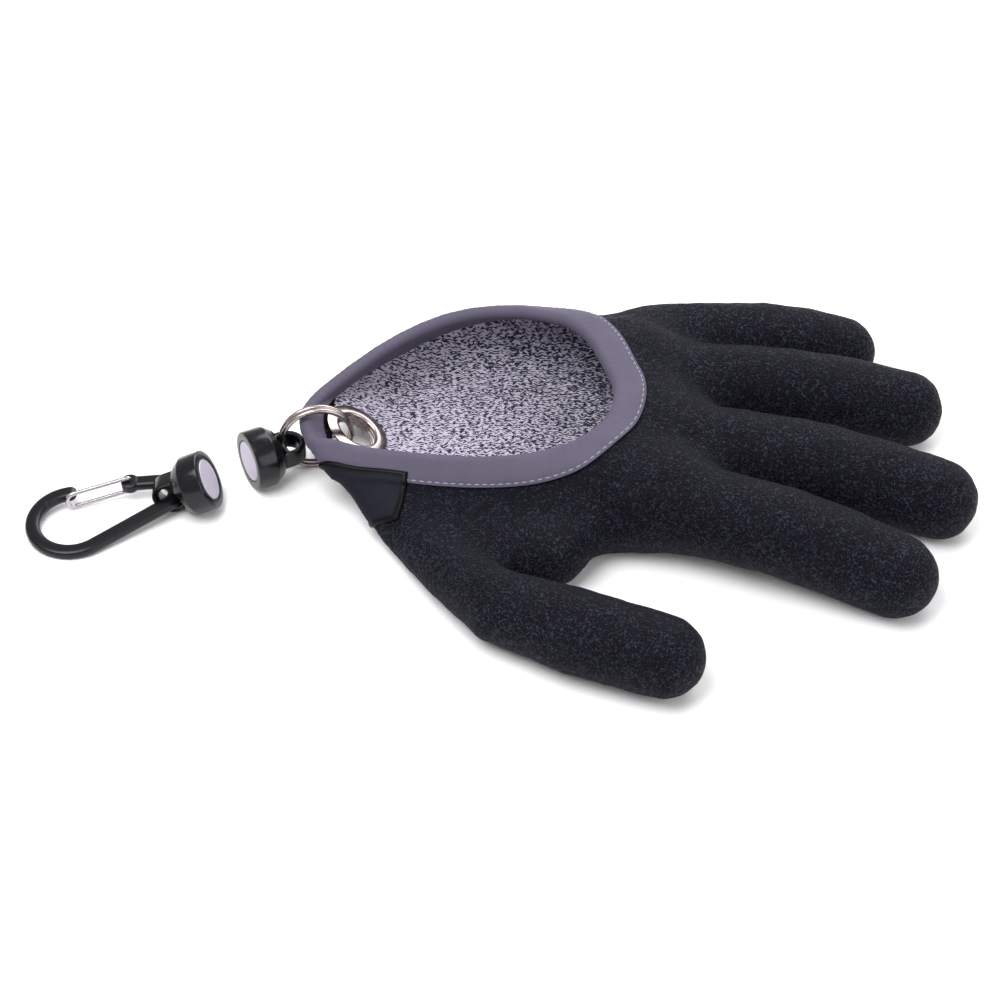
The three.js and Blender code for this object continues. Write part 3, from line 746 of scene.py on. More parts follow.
def crinkled_latex():
    finish = Finish("crinkled_latex")
    where = finish.place()
    worms = 1 - abs(finish.noise(where, 0.8, 1.0) - 0.5) * 13
    ridges = worms.step(0.05, 0.95)
    grain = finish.noise(where, 2.6, 2)
    cloudy = finish.noise(where, 0.05, 3)
    # The colour is lighter on the crinkle's ridges, a painted highlight; the grain and the cloudy noise
    # vary the tone at random.
    ridge_highlight_and_tone = (ridges * 0.9 + grain * 0.3 - 0.15) * (0.3 + cloudy * 1.3)
    base = finish.blend(ridge_highlight_and_tone, colour(0.0008, 0.0009, 0.0028), colour(0.024, 0.025, 0.044))
    return finish.surface(
        base_color=base,
        roughness=0.66 - ridges * 0.16 + grain * 0.1,
        specular_ior_level=0.1,
        sheen_weight=0.015,
        sheen_roughness=0.5,
        sheen_tint=colour(0.55, 0.58, 0.75),
        normal=finish.bump(ridges + grain * 0.35, 0.4, 1.0),
    )


def melange_knit():
    finish = Finish("melange_knit")
    where = finish.place()
    along = finish.axis(where, "X")
    across = finish.axis(where, "Y")
    up = finish.axis(where, "Z")
    zigzag = along.math("PINGPONG", 1.5) * 0.42
    course = across + up * 0.8 + zigzag
    rows = (course * (2 * math.pi / 1.15)).math("SINE")
    fleck_place = finish.node(
        "ShaderNodeCombineXYZ",
        None,
        {0: along * 0.72, 1: course * 1.7, 2: up * 0.5},
    ).outputs[0]
    flecks = finish.noise(fleck_place, 1.0, 1.0)
    # The dark flecks grow denser towards the fingers, deeper inside the glove, which is painted shade;
    # the low noise moves them at random.
    drift = along * 0.0006 + finish.noise(where, 0.04, 2) * 0.08
    dark = (flecks + rows * 0.03 + drift).step(0.525, 0.57)
    soft = finish.noise(where, 3.0, 2)
    pale = finish.blend(soft, colour(0.4, 0.365, 0.46), colour(0.56, 0.52, 0.63))
    base = finish.blend(dark, pale, colour(0.018, 0.018, 0.042))
    return finish.surface(
        base_color=base,
        roughness=0.85 - dark * 0.1,
        sheen_weight=0.06,
        sheen_roughness=0.4,
        specular_ior_level=0.2,
        normal=finish.bump(rows * 0.5 - dark * 0.6 + soft * 0.4, 0.35, 0.8),
    )


def satin_tape():
    finish = Finish("satin_tape")
    where = finish.place()
    threads = finish.noise(finish.place((0.7, 2.6, 2.6), (0.35, 0.2, 0.5)), 1.3, 2)
    slub = finish.noise(where, 0.09, 3)
    fuzz = finish.noise(where, 3.2, 3)
    share = slub * 0.55 + threads * 0.3 + fuzz * 0.2
    base = finish.blend(share, colour(0.048, 0.042, 0.068), colour(0.1, 0.089, 0.132))
    return finish.surface(
        base_color=base,
        roughness=0.62 + fuzz * 0.2,
        sheen_weight=0.1,
        sheen_roughness=0.35,
        sheen_tint=colour(0.8, 0.75, 0.95),
        specular_ior_level=0.3,
        normal=finish.bump(threads * 0.6 + fuzz * 0.5, 0.16, 0.7),
    )


def pale_thread():
    finish = Finish("pale_thread")
    twist = finish.noise(finish.place((1, 1, 1)), 2.4, 2)
    base = finish.blend(twist, colour(0.17, 0.15, 0.21), colour(0.3, 0.27, 0.36))
    return finish.surface(
        base_color=base,
        roughness=0.55 + twist * 0.2,
        sheen_weight=0.1,
        normal=finish.bump(twist, 0.08, 0.6),
    )


def black_tab():
    finish = Finish("black_tab")
    where = finish.place()
    weave = finish.noise(finish.place((1.2, 3.2, 3.2)), 1.2, 1)
    fine = finish.noise(where, 2.2, 3)
    edging = finish.node("ShaderNodeAttribute", {"attribute_name": "border"})
    border = Value(finish, edging.outputs["Fac"])
    field = finish.blend(weave, colour(0.002, 0.002, 0.004), colour(0.012, 0.012, 0.021))
    base = finish.blend(border, field, colour(0.001, 0.001, 0.0015))
    return finish.surface(
        base_color=base,
        roughness=0.6 - border * 0.25 + fine * 0.12,
        specular_ior_level=0.12,
        normal=finish.bump(weave * (1 - border) + fine * 0.2, 0.14, 0.6),
    )


def warm_nickel():
    finish = Finish("warm_nickel")
    where = finish.place()
    haze = finish.noise(where, 0.25, 3)
    scratches = finish.noise(finish.place((0.3, 4, 4), (0.4, 0.6, 0.2)), 1.0, 2)
    base = finish.blend(haze, colour(0.27, 0.225, 0.22), colour(0.48, 0.415, 0.405))
    return finish.surface(
        base_color=base,
        metallic=1.0,
        roughness=0.16 + haze * 0.12 + scratches * 0.08,
        normal=finish.bump(scratches, 0.02, 0.35),
    )


def gloss_moulding():
    finish = Finish("gloss_moulding")
    where = finish.place()
    orange_peel = finish.noise(where, 0.5, 2)
    scuffs = finish.noise(finish.place((0.35, 3, 3), (0.5, 0.2, 0.9)), 1.0, 3).step(0.6, 0.75)
    base = finish.blend(scuffs, colour(0.0025, 0.0025, 0.004), colour(0.012, 0.012, 0.017))
    return finish.surface(
        base_color=base,
        roughness=0.16 + orange_peel * 0.08 + scuffs * 0.14,
        specular_ior_level=0.32,
        normal=finish.bump(orange_peel, 0.05, 0.5),
    )


def magnet_plate():
    finish = Finish("magnet_plate")
    where = finish.place()
    grain = finish.noise(where, 2.5, 3)
    smears = finish.noise(where, 0.35, 3)
    base = finish.blend(smears * 0.6 + grain * 0.4, colour(0.4, 0.36, 0.44), colour(0.56, 0.51, 0.6))
    return finish.surface(
        base_color=base,
        metallic=0.35,
        roughness=0.42 + grain * 0.14,
        normal=finish.bump(grain, 0.03, 0.5),
    )


def satin_black_metal():
    finish = Finish("satin_black_metal")
    where = finish.place()
    grain = finish.noise(where, 2.0, 3)
    rubs = finish.noise(where, 0.3, 4).step(0.6, 0.78)
    base = finish.blend(rubs, colour(0.003, 0.003, 0.005), colour(0.016, 0.016, 0.022))
    return finish.surface(
        base_color=base,
        metallic=0.2,
        roughness=0.24 + grain * 0.1 + rubs * 0.1,
        specular_ior_level=0.35,
        normal=finish.bump(grain, 0.04, 0.5),
    )


def bright_wire():
    finish = Finish("bright_wire")
    draw = finish.noise(finish.place((0.3, 4, 4)), 1.0, 2)
    base = finish.blend(draw, colour(0.34, 0.31, 0.335), colour(0.58, 0.54, 0.57))
    return finish.surface(
        base_color=base,
        metallic=1.0,
        roughness=0.18 + draw * 0.14,
        normal=finish.bump(draw, 0.02, 0.4),
    )


def pale_floor():
    finish = Finish("pale_floor")
    tone = finish.noise(finish.place(), 0.01, 2)
    base = finish.blend(tone, colour(0.86, 0.86, 0.87), colour(0.9, 0.9, 0.91))
    return finish.surface(base_color=base, roughness=0.9, specular_ior_level=0.1)


# The glove


def latex_shell():
    points, faces = open_skin(0, LATEX_CELL)
    normals = unit(slope(points))
    uneven = sum(ripple(points, *waves) * height for height, *waves in LATEX_WAVES)
    points = points + normals * (uneven - LATEX_SINK)[:, None]
    points[:, 2] = np.maximum(points[:, 2], 0)
    latex = crinkled_latex()
    shell = piece("latex_shell", points, faces, latex, ["glove_body"], sharp=180)
    thicken(shell, LATEX)
    return shell


def knit_liner():
    points, faces = open_skin(-WALL, LINER_CELL)
    faces = faces[:, ::-1]
    knit = melange_knit()
    liner = piece("knit_liner", points, faces, knit, ["glove_body"], sharp=180)
    thicken(liner, LINER)
    return liner


def thicken(cloth, thickness):
    wall = cloth.modifiers.new("wall", "SOLIDIFY")
    wall.thickness = thickness * MM
    wall.offset = -1


def tape_section(rows, station_ripple, inner_leg):
    """The folded tape's ring of points at every station, outer leg first."""
    half = WALL / 2 + CLEARANCE
    outer = half + TAPE_THICKNESS

    def on_wall(distance, height):
        walk = np.broadcast_to(distance, height.shape) / WALK
        upper = np.minimum(walk.astype(int), len(rows) - 2)
        part = (walk - upper)[:, None]
        stations = np.arange(len(height))
        places, normals = [
            stack[upper, stations] * (1 - part) + stack[upper + 1, stations] * part
            for stack in (np.stack([row[0] for row in rows]), np.stack([row[1] for row in rows]))
        ]
        return places + normals * height[:, None]

    def round_fold(angle, radius):
        places, normals, downs = rows[0]
        lift = (radius * math.cos(angle))[:, None]
        drop = (radius * math.sin(angle))[:, None]
        return places + normals * lift - downs * drop

    flat = np.ones(len(station_ripple))
    soft = station_ripple * TAPE_RIPPLE
    outer_swells = [
        (8, -0.05),
        (STITCH_LINE, -0.22),
        (7, -0.05),
        (6, 0.06),
        (4.5, 0.1),
        (3, 0.06),
        (1.5, 0),
    ]
    ring = []
    ring.append(on_wall(TAPE_LEG, flat * (half + 0.15 * TAPE_THICKNESS)))
    ring.append(on_wall(TAPE_LEG, flat * (outer - 0.3)))
    for distance, swell in outer_swells:
        ring.append(on_wall(distance, outer + swell + soft))
    for turn in np.linspace(0, 1, 11):
        ring.append(round_fold(turn * math.pi, outer + soft))
    for share, swell in [(0.3, 0), (0.6, 0.08), (0.9, -0.05)]:
        ring.append(on_wall(share * inner_leg, -(outer + swell + soft)))
    ring.append(on_wall(inner_leg, -flat * (outer - 0.3)))
    ring.append(on_wall(inner_leg, -flat * (half + 0.1)))
    ring.append(on_wall(2.5, -flat * half))
    for turn in (0.85, 0.5, 0.15):
        ring.append(round_fold(turn * math.pi, flat * half))
    ring.append(on_wall(2.5, flat * half))
    ring.append(on_wall(5.5, flat * half))
    return ring


def edge_binding():
    from_tail = np.minimum(rim_stations, rim_length - rim_stations)
    widened = np.clip((from_tail - INNER_LEG_WIDENS_FROM) / INNER_LEG_WIDENS_OVER, 0, 1)
    inner_leg = INNER_LEG + (INNER_LEG_AT_HAND - INNER_LEG) * widened
    puckers = np.sin(rim_stations / STITCH_PITCH * 2 * math.pi) * TAPE_PUCKER
    waves = np.sin(rim_stations / 17) * 0.6 + np.sin(rim_stations / 7.3 + 1) * 0.4
    lap_begins = np.clip((rim_stations - LAP_START) / 0.8, 0, 1)
    lap_ends = np.clip((LAP_START + LAP_LENGTH - rim_stations) / 2, 0, 1)
    lap = lap_begins * lap_ends
    ring = tape_section(rim_rows, puckers + waves + lap * LAP_SWELL, inner_leg)
    points = np.stack(ring, axis=1).reshape(-1, 3)
    around = len(ring)
    faces = swept_faces(len(rim_stations), around, True)
    return piece("edge_binding_tape", points, faces, satin_tape(), ["edge_binding"], sharp=50)


def stitching_tree(thread):
    """Stitches along a line of points that carries its outward direction."""
    tree = bpy.data.node_groups.new("edge_stitching", "GeometryNodeTree")
    sockets = {}
    tree.interface.new_socket("Geometry", in_out="INPUT", socket_type="NodeSocketGeometry")
    for name in ("Pitch", "Stitch Length", "Stitch Radius"):
        made = tree.interface.new_socket(name, in_out="INPUT", socket_type="NodeSocketFloat")
        sockets[name] = made.identifier
    tree.interface.new_socket("Geometry", in_out="OUTPUT", socket_type="NodeSocketGeometry")

    def node(kind, settings=None, inputs=None):
        return add_node(tree, kind, settings, inputs)

    entry = node("NodeGroupInput")
    curve = node("GeometryNodeMeshToCurve", None, {"Mesh": entry.outputs["Geometry"]})
    spaced = node(
        "GeometryNodeResampleCurve",
        {"mode": "LENGTH"},
        {"Curve": curve.outputs[0], "Length": entry.outputs["Pitch"]},
    )
    outward = node("GeometryNodeInputNamedAttribute", {"data_type": "FLOAT_VECTOR"}, {"Name": "outward"})
    tangent = node("GeometryNodeInputTangent")
    turned = node(
        "FunctionNodeAxesToRotation",
        {"primary_axis": "X", "secondary_axis": "Z"},
        {0: tangent.outputs[0], 1: outward.outputs[0]},
    )
    lump = node("GeometryNodeMeshIcoSphere", None, {"Radius": 1.0, "Subdivisions": 2})
    half = node("ShaderNodeMath", {"operation": "MULTIPLY"}, {0: entry.outputs["Stitch Length"], 1: 0.5})
    size = node(
        "ShaderNodeCombineXYZ",
        None,
        {0: half.outputs[0], 1: entry.outputs["Stitch Radius"], 2: entry.outputs["Stitch Radius"]},
    )
    stitches = node(
        "GeometryNodeInstanceOnPoints",
        None,
        {
            "Points": spaced.outputs[0],
            "Instance": lump.outputs["Mesh"],
            "Rotation": turned.outputs[0],
            "Scale": size.outputs[0],
        },
    )
    real = node("GeometryNodeRealizeInstances", None, {"Geometry": stitches.outputs[0]})
    smooth = node("GeometryNodeSetShadeSmooth", None, {"Geometry": real.outputs[0]})
    dyed = node("GeometryNodeSetMaterial", None, {"Geometry": smooth.outputs[0], "Material": thread})
    node("NodeGroupOutput", None, {"Geometry": dyed.outputs[0]})
    return tree, sockets


def binding_stitches():
    places, normals, _ = rim_rows[int(round(STITCH_LINE / WALK))]
    line = (places + normals * (WALL / 2 + CLEARANCE + TAPE_THICKNESS - 0.16) + shift) * MM
    count = len(line)
    mesh = bpy.data.meshes.new("binding_stitches")
    mesh.from_pydata(line.tolist(), [(i, (i + 1) % count) for i in range(count)], [])
    outward = mesh.attributes.new("outward", "FLOAT_VECTOR", "POINT")
    outward.data.foreach_set("vector", normals.ravel())
    stitches = in_scene("binding_stitches", mesh)
    thread = pale_thread()
    tree, sockets = stitching_tree(thread)
    sewing = stitches.modifiers.new("sewing", "NODES")
    sewing.node_group = tree
    sewing[sockets["Pitch"]] = STITCH_PITCH * MM
    sewing[sockets["Stitch Length"]] = STITCH_LENGTH * MM
    sewing[sockets["Stitch Radius"]] = STITCH_RADIUS * MM
    evaluated = stitches.evaluated_get(bpy.context.evaluated_depsgraph_get())
    stitches.data = bpy.data.meshes.new_from_object(evaluated)
    stitches.modifiers.clear()
    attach(stitches, "glove")
    return stitches


def label_tab():
    """The tab laps over the tape and follows the wall; its raised border runs all round."""
    columns, rows = 80, 44
    along = LABEL_FROM_TAIL - LABEL_LAP + np.linspace(0, LABEL_ALONG_RIM + LABEL_LAP, columns + 1)
    station = along / rim_length * len(rim_stations)
    first = np.floor(station).astype(int)
    share = (station - first)[:, None]

    def between(values):
        return values[first] * (1 - share) + values[first + 1] * share

    top = TAPE_LEG - LABEL_LAP + CLEARANCE
    height = LABEL_HEIGHT + LABEL_LAP
    down = np.linspace(0, height, rows + 1)
    front, back, edge = [], [], []
    for distance in down:
        on_tape = np.clip((TAPE_LEG + 2 - top - distance) / 2, 0, 1)
        near = WALL / 2 + CLEARANCE + (TAPE_THICKNESS + 0.15) * on_tape**2 * (3 - 2 * on_tape)
        walk = (top + distance) / WALK
        upper = int(walk)
        part = walk - upper
        places = between(label_rows[upper][0]) * (1 - part) + between(label_rows[upper + 1][0]) * part
        normals = unit(between(label_rows[upper][1]))
        from_side = np.minimum(along - along[0], along[-1] - along)
        from_edge = np.minimum(from_side, min(distance, height - distance))
        rounded = np.clip(from_edge / 0.5, 0, 1) ** 0.5
        border = np.clip((1.9 - from_edge) / 0.3, 0, 1)
        groove = np.clip(1 - np.abs(from_edge - 2.1) / 0.3, 0, 1)
        thick = LABEL_THICKNESS * (0.35 + rounded * (0.3 + 0.4 * border) - 0.12 * groove)
        front.append(places + normals * (near + thick)[:, None])
        back.append(places + normals * near)
        edge.append(border)
    width = columns + 1
    points = np.concatenate([np.concatenate(front), np.concatenate(back)])
    behind = width * (rows + 1)
    faces = []
    for row in range(rows):
        for column in range(columns):
            corner = row * width + column
            quad = (corner, corner + width, corner + width + 1, corner + 1)
            faces += [quad, tuple(behind + index for index in quad[::-1])]
    outline = [*range(width), *range(2 * width - 1, behind, width)]
    outline += [*range(behind - 2, behind - width - 1, -1), *range(behind - 2 * width, 0, -width)]
    for here, following in zip(outline, outline[1:] + outline[:1]):
        faces.append((here, following, behind + following, behind + here))
    tab = piece("label_tab", points, faces, black_tab(), ["label"], sharp=60)
    border = tab.data.attributes.new("border", "FLOAT", "POINT")
    border.data.foreach_set("value", np.tile(np.concatenate(edge), 2))
    return tab


# The hardware


def eyelet_metal():
    half = WALL / 2 + CLEARANCE
    outer = half + EYELET_METAL
    upper = [
        (EYELET_FLANGE - 0.25, half),
        (EYELET_FLANGE, half + 0.2),
        (EYELET_FLANGE - 0.1, half + 0.5),
        (EYELET_FLANGE - 0.9, half + 0.72),
        (EYELET_HOLE + 2.6, outer - 0.12),
        (EYELET_HOLE + 1.7, outer),
        (EYELET_HOLE + 1.0, outer),
        (EYELET_HOLE + 0.45, outer - 0.22),
        (EYELET_HOLE + 0.12, outer - 0.7),
        (EYELET_HOLE + 0.05, outer - 1.3),
        (EYELET_HOLE + 0.35, outer - 1.45),
        (EYELET_HOLE + 0.35, 0.3),
        (EYELET_HOLE, 0.15),
    ]
    lower = [(radius, -height) for radius, height in upper[:-1]][::-1]
    barrel = EYELET_HOLE + EYELET_METAL
    profile = [(barrel, half), *upper, (EYELET_HOLE, -0.15), *lower, (barrel, -half)]
    points, faces = lathed(profile[::-1], 96)
    points = placed(points, eyelet_place)
    return piece("eyelet_metal", points, faces, nickel, ["eyelet"], sharp=45)


def split_ring_wire():
    steps = 220
    shares = np.linspace(0, 1, steps + 1)
    angles = 4 * math.pi * shares
    drift = (shares - 0.5) * 4 * (RING_WIRE + RING_TURN_GAP / 2)
    flat = np.column_stack([RING_RADIUS * np.cos(angles), drift, RING_RADIUS * np.sin(angles)])
    place = Matrix.Translation(ring_centre) @ Matrix.Rotation(RING_YAW, 4, "Z")
    points, faces = round_tube(flat, RING_WIRE, 14, (0, 1, 0))
    return piece("split_ring_wire", placed(points, place), faces, nickel, ["split_ring"])


def joined(base, cutters, operation):
    """Boolean of the base with each cutter; the cutters are removed."""
    for cutter in cutters:
        cut = base.modifiers.new("cut", "BOOLEAN")
        cut.operation = operation
        cut.solver = "EXACT"
        cut.object = cutter
    evaluated = base.evaluated_get(bpy.context.evaluated_depsgraph_get())
    old = base.data
    base.data = bpy.data.meshes.new_from_object(evaluated)
    base.modifiers.clear()
    bpy.data.meshes.remove(old)
    for cutter in cutters:
        bpy.data.objects.remove(cutter)
    return base


def helper(points, faces):
    mesh = bpy.data.meshes.new("helper")
    mesh.from_pydata(np.asarray(points).tolist(), [], [tuple(face) for face in faces])
    return in_scene("helper", mesh)


def lug_plate():
    """The lug's outline, its edges rounded by rings of slightly smaller outlines."""
    turns = np.linspace(math.pi, 2 * math.pi, 33)
    half = LUG_THICKNESS / 2
    base = -DRUM_DEPTH + 1.2
    rings = []
    rounding = [
        (0.9, -half), (0.35, -half + 0.12), (0.08, -half + 0.4), (0, -half + 0.9),
        (0, half - 0.9), (0.08, half - 0.4), (0.35, half - 0.12), (0.9, half),
    ]
    for inset, height in rounding:
        radius = LUG_RADIUS - inset
        outline = [(-radius, base)]
        for turn in turns:
            outline.append((radius * math.cos(turn), -LUG_REACH + radius * math.sin(turn)))
        outline.append((radius, base))
        rings.append(np.array([(x, height, y) for x, y in outline]))
    around = len(rings[0])
    faces = swept_faces(len(rings), around, False)
    faces.append(tuple(range(around)))
    faces.append(tuple(range((len(rings) - 1) * around, len(rings) * around))[::-1])
    return helper(np.concatenate(rings), [face[::-1] for face in faces])


def drum_and_neck():
    pocket = MAGNET_RADIUS + CLEARANCE
    depth = MAGNET_THICKNESS + CLEARANCE
    profile = [
        (0, -depth), (pocket, -depth), (pocket, -0.25), (pocket + 0.2, -0.03), (pocket + 0.5, 0),
        (DRUM_RADIUS - 0.9, 0), (DRUM_RADIUS - 0.35, -0.1),
        (DRUM_RADIUS - 0.08, -0.4), (DRUM_RADIUS, -0.9),
        (DRUM_RADIUS, -DRUM_DEPTH + 0.9), (DRUM_RADIUS - 0.1, -DRUM_DEPTH + 0.35),
        (DRUM_RADIUS - 0.5, -DRUM_DEPTH - 0.1), (DRUM_RADIUS - 1, -DRUM_DEPTH - 0.9),
        (1.25 * LUG_RADIUS, -LUG_REACH + LUG_HOLE),
        (1.03 * LUG_RADIUS, -LUG_REACH + 0.68 * LUG_HOLE),
        (0.8 * LUG_RADIUS, -LUG_REACH + 0.4 * LUG_HOLE),
        (0.6 * LUG_RADIUS, -LUG_REACH + 0.25 * LUG_HOLE),
        (0, -LUG_REACH + 0.22 * LUG_HOLE),
    ]
    points, faces = lathed(profile[::-1], 72)
    return helper(points, faces)


def hole_plug():
    """A waisted pin that leaves the lug's hole with rounded edges."""
    half = LUG_THICKNESS / 2
    profile = [
        (0, -3 * half), (LUG_HOLE + 0.8, -3 * half),
        (LUG_HOLE + 0.8, -half), (LUG_HOLE + 0.3, -half + 0.2),
        (LUG_HOLE, -half + 0.8), (LUG_HOLE, half - 0.8), (LUG_HOLE + 0.3, half - 0.2),
        (LUG_HOLE + 0.8, half), (LUG_HOLE + 0.8, 3 * half), (0, 3 * half),
    ]
    points, faces = lathed(profile, 48)
    turned = np.column_stack([points[:, 0], points[:, 2], -points[:, 1] - LUG_REACH])
    return helper(turned, faces)


def facing_place(position, facing, hole_axis):
    side = hole_axis.cross(facing)
    turn = Matrix((side, hole_axis, facing)).transposed()
    return Matrix.Translation(position) @ turn.to_4x4()


def magnet_half(side_name, place):
    body = joined(drum_and_neck(), [lug_plate()], "UNION")
    body = joined(body, [hole_plug()], "DIFFERENCE")
    points = np.array([vertex.co[:] for vertex in body.data.vertices])
    faces = [tuple(face.vertices) for face in body.data.polygons]
    bpy.data.objects.remove(body)
    points = placed(points, place)
    holder = f"{side_name}_magnet_holder"
    piece(f"{holder}_moulding", points, faces, moulding, [holder], sharp=32)
    rim = 0.25
    profile = [
        (0, -MAGNET_THICKNESS), (MAGNET_RADIUS - rim, -MAGNET_THICKNESS),
        (MAGNET_RADIUS, -MAGNET_THICKNESS + rim), (MAGNET_RADIUS, -rim),
        (MAGNET_RADIUS - rim, 0), (0.6 * MAGNET_RADIUS, 0), (0, 0),
    ]
    points, faces = lathed(profile, 64)
    points = placed(points, place)
    magnet = f"{side_name}_magnet"
    piece(f"{magnet}_disc", points, faces, magnet_metal, [magnet], sharp=30)


def glove_half():
    facing = Vector((math.cos(FACE_YAW), math.sin(FACE_YAW), 0))
    play = LUG_HOLE - 2 * RING_WIRE - CLEARANCE
    hole = ring_left + Vector((HOLDER_PLAY[0] * play, HOLDER_PLAY[1] * play, 0))
    position = hole + LUG_REACH * facing
    position.z = DRUM_RADIUS
    magnet_half("glove", facing_place(position, facing, Vector((0, 0, 1))))


# The clip half: the carabiner leans on its holder's lug

small_centre = Vector((END_SPACING * math.cos(END_TURN), END_SPACING * math.sin(END_TURN), 0))
spine_angle = END_TURN + math.asin((WIDE_END - SMALL_END) / END_SPACING)
knuckle = Vector((small_centre.x - KNUCKLE_BACK, small_centre.y + KNUCKLE_ACROSS, 0))


def carabiner_turn():
    end_reach = small_centre.x + SMALL_END + WIDE_END
    lift = LUG_RADIUS - BAR_LOW_IN_HOLE - BAR_THICKNESS / 2
    roll_lift = math.sin(CLIP_ROLL) * (small_centre.y + WIDE_END)
    pitch = math.asin((lift - roll_lift) / end_reach)
    return Matrix.Rotation(-pitch, 4, "Y"), Matrix.Rotation(CLIP_ROLL, 4, "X")


def arc(centre, radius, start, end, count):
    angles = np.linspace(start, end, count)
    return np.column_stack([
        centre.x + radius * np.cos(angles),
        centre.y + radius * np.sin(angles),
        np.zeros(count),
    ])


def bar_path():
    near_side = spine_angle - math.pi / 2
    wide = arc(Vector((0, 0, 0)), WIDE_END, NOSE_ANGLE, near_side + 2 * math.pi, 90)
    small = arc(small_centre, SMALL_END, near_side, math.pi / 2, 40)
    spine = np.linspace(wide[-1], small[0], 24)[1:-1]
    end = np.linspace(small[-1], np.array(knuckle), 10)[1:]
    return np.concatenate([wide, spine, small, end])


def bar_section(turns=20):
    """A flattened round section: width in the carabiner's plane, thickness across it."""
    angles = np.linspace(0, 2 * math.pi, turns, endpoint=False)
    power = 0.62
    wide = np.sign(np.cos(angles)) * np.abs(np.cos(angles)) ** power * BAR_WIDTH / 2
    thick = np.sign(np.sin(angles)) * np.abs(np.sin(angles)) ** power * BAR_THICKNESS / 2
    return wide, thick


def carabiner_bar(place):
    path = bar_path()
    tangents = unit(np.gradient(path, axis=0))
    sides = np.column_stack([tangents[:, 1], -tangents[:, 0], np.zeros(len(path))])
    wide, thick = bar_section()
    from_nose = np.concatenate([[0], np.cumsum(np.linalg.norm(np.diff(path, axis=0), axis=1))])
    rounding = np.clip(from_nose / (BAR_WIDTH / 2), 0, 1)
    scale = np.maximum(np.sqrt(1 - (1 - rounding) ** 2), NOSE_TIP)

    def ring(i):
        across = np.outer(wide * scale[i], sides[i])
        return path[i] + across + np.outer(thick * scale[i], (0, 0, 1))

    bar_points, bar_faces = capped_tube(path, ring)
    bore = GATE_WIRE + CLEARANCE
    half = BAR_THICKNESS / 2
    boss_profile = [
        (bore, half - 0.15), (bore + 0.15, half),
        (KNUCKLE_RADIUS - 0.5, half), (KNUCKLE_RADIUS - 0.12, half - 0.2),
        (KNUCKLE_RADIUS, half - 0.7), (KNUCKLE_RADIUS, 0.7 - half),
        (KNUCKLE_RADIUS - 0.12, 0.2 - half), (KNUCKLE_RADIUS - 0.5, -half),
        (bore + 0.15, -half), (bore, 0.15 - half),
    ]
    boss_points, boss_faces = lathed(boss_profile[::-1], 40)
    boss_points = boss_points + np.array(knuckle)
    faces = bar_faces + [tuple(index + len(bar_points) for index in face) for face in boss_faces]
    points = placed(np.concatenate([bar_points, boss_points]), place)
    piece("carabiner_bar", points, faces, black_metal, ["carabiner_body"], sharp=40)


def bezier(start, pull, end, count=8):
    shares = np.linspace(0, 1, count)[:, None]
    return (1 - shares) ** 2 * start + 2 * shares * (1 - shares) * pull + shares**2 * end


def gate_loop(place):
    catch_radius = WIDE_END - BAR_WIDTH / 2 - GATE_WIRE - CLEARANCE
    catch_angle = NOSE_ANGLE + GATE_OVERLAP / WIDE_END
    catch = Vector((math.cos(catch_angle), math.sin(catch_angle), 0)) * catch_radius
    reach = (catch - knuckle).length
    turn = math.atan2(catch.y - knuckle.y, catch.x - knuckle.x)
    bend = 1.6 * GATE_WIRE
    up = GATE_SPREAD

    def at(along, height):
        return np.array([along, 0.0, height])

    path = np.concatenate([
        np.linspace(at(0, 0.25 * BAR_THICKNESS), at(0, up - bend), 5),
        bezier(at(0, up - bend), at(0, up), at(bend, up))[1:],
        np.linspace(at(bend, up), at(reach - up, up), 24)[1:],
        bezier(at(reach - up, up), at(reach, up), at(reach, 0), 14)[1:],
        bezier(at(reach, 0), at(reach, -up), at(reach - up, -up), 14)[1:],
        np.linspace(at(reach - up, -up), at(bend, -up), 24)[1:],
        bezier(at(bend, -up), at(0, -up), at(0, -up + bend))[1:],
        np.linspace(at(0, -up + bend), at(0, -0.25 * BAR_THICKNESS), 5)[1:],
    ])
    points, faces = round_tube(path, GATE_WIRE, 14, (0, 1, 0))
    points = placed(points, place @ Matrix.Translation(knuckle) @ Matrix.Rotation(turn, 4, "Z"))
    piece("gate_wire_loop", points, faces, steel_wire, ["wire_gate"], "gate")


def clip_half():
    pitch, roll = carabiner_turn()
    turn = roll @ pitch
    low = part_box("carabiner_body")[0]
    lowest = placed(np.array(bar_path()), turn)[:, 2].min() - BAR_THICKNESS / 2
    lift = max(0.0, low[2] / MM - lowest)
    place = Matrix.Translation((*CLIP_PLACE, lift)) @ turn
    carabiner_bar(place)
    gate_loop(place)
    bar_end = turn @ Vector((small_centre.x + SMALL_END, small_centre.y, 0))
    tilt = math.acos(LUG_RADIUS / math.hypot(DRUM_RADIUS, LUG_REACH - DRUM_DEPTH))
    tilt -= math.atan2(LUG_REACH - DRUM_DEPTH, DRUM_RADIUS)
    facing = Vector((math.cos(tilt), 0, math.sin(tilt)))
    foot_along = bar_end.x - BAR_BACK_IN_HOLE + CLIP_PLACE[0]
    foot = Vector((foot_along, bar_end.y + CLIP_PLACE[1], LUG_RADIUS))
    magnet_half("clip", facing_place(foot + LUG_REACH * facing, facing, Vector((0, 1, 0))))


# Camera, floor and light


def look_at(thing, target):
    thing.rotation_euler = (target - thing.location).to_track_quat("-Z", "Y").to_euler()


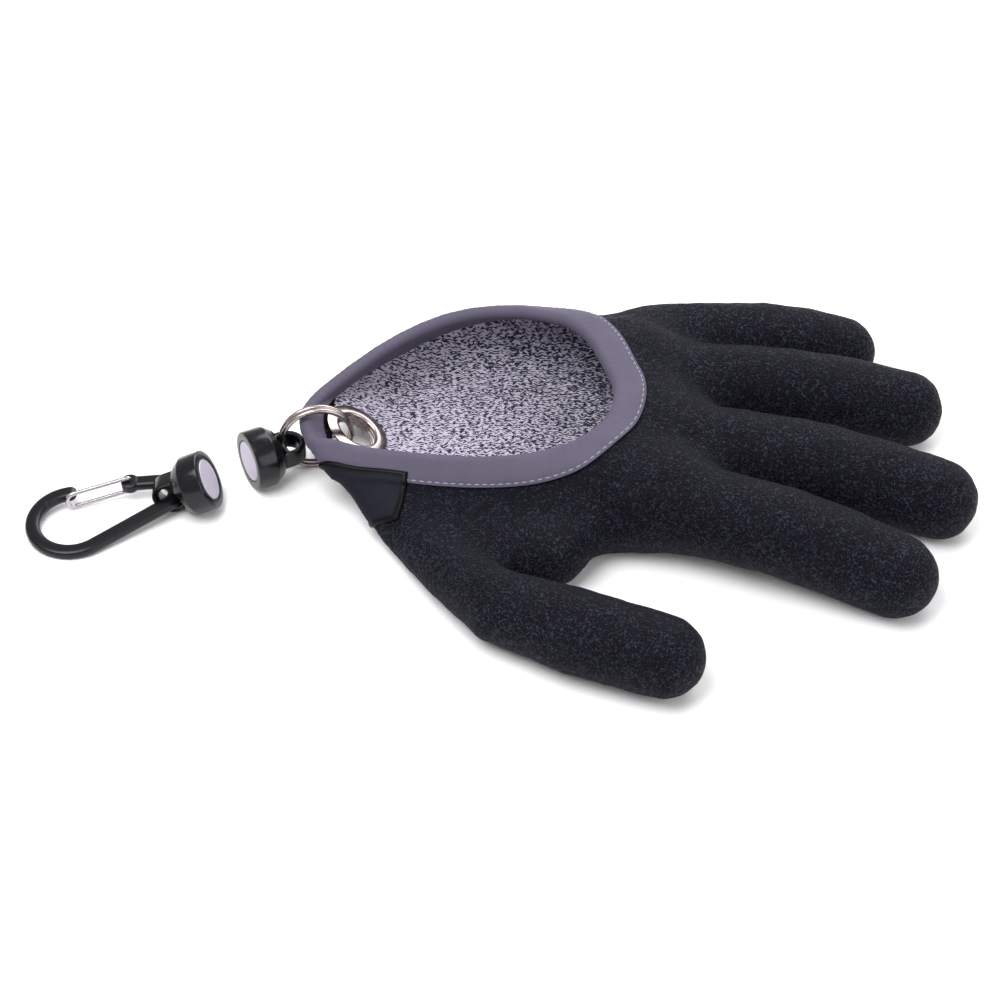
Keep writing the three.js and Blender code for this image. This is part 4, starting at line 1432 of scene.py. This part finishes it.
def studio():
    lens = bpy.data.cameras.new("camera")
    lens.lens = FOCAL_LENGTH
    lens.sensor_width = SENSOR_WIDTH
    camera = in_scene("camera", lens)
    towards = Vector((0, -math.cos(CAMERA_ELEVATION), math.sin(CAMERA_ELEVATION)))
    camera.location = CAMERA_TARGET + CAMERA_DISTANCE * towards
    look_at(camera, CAMERA_TARGET)
    bpy.context.scene.camera = camera

    world = bpy.data.worlds.new("studio")
    world.use_nodes = True
    background = world.node_tree.nodes["Background"]
    background.inputs["Color"].default_value = (1, 1, 1, 1)
    background.inputs["Strength"].default_value = WORLD_STRENGTH
    bpy.context.scene.world = world
    bpy.context.scene.view_settings.view_transform = "Standard"

    for name, place, width, power in LAMPS:
        light = bpy.data.lights.new(name, "AREA")
        light.size = width
        light.energy = power
        lamp = in_scene(name, light)
        lamp.location = place
        look_at(lamp, CAMERA_TARGET)

    mesh = bpy.data.meshes.new("floor")
    corners = [(-1, -1), (1, -1), (1, 1), (-1, 1)]
    places = [(x * FLOOR_REACH, y * FLOOR_REACH, 0) for x, y in corners]
    mesh.from_pydata(places, [], [(0, 1, 2, 3)])
    mesh.materials.append(pale_floor())
    floor = in_scene("floor", mesh)


# The rim and the paths down the wall from it, then every piece

rim_rays = np.linspace(-math.pi, math.pi, RIM_RAYS, endpoint=False)
rim_loop, rim_length = smooth_loop(rim_points(rim_rays), RIM_COUNT, RIM_SPREAD)
rim_reach = around_mouth(rim_loop)
rim_stations = np.arange(RIM_COUNT) * rim_length / RIM_COUNT
rim_tangents = unit(np.roll(rim_loop, -1, axis=0) - np.roll(rim_loop, 1, axis=0))
rim_rows = wall_paths(rim_loop, rim_tangents, TAPE_LEG)
label_part = slice(0, int(1.4 * (LABEL_FROM_TAIL + LABEL_ALONG_RIM) / rim_length * RIM_COUNT))
label_rows = wall_paths(
    rim_loop[label_part],
    rim_tangents[label_part],
    TAPE_LEG + LABEL_HEIGHT + 2,
)

nickel = warm_nickel()
moulding = gloss_moulding()
magnet_metal = magnet_plate()
black_metal = satin_black_metal()
steel_wire = bright_wire()

studio()
latex_shell()
knit_liner()
edge_binding()
binding_stitches()
label_tab()
eyelet_metal()
split_ring_wire()
glove_half()
clip_half()
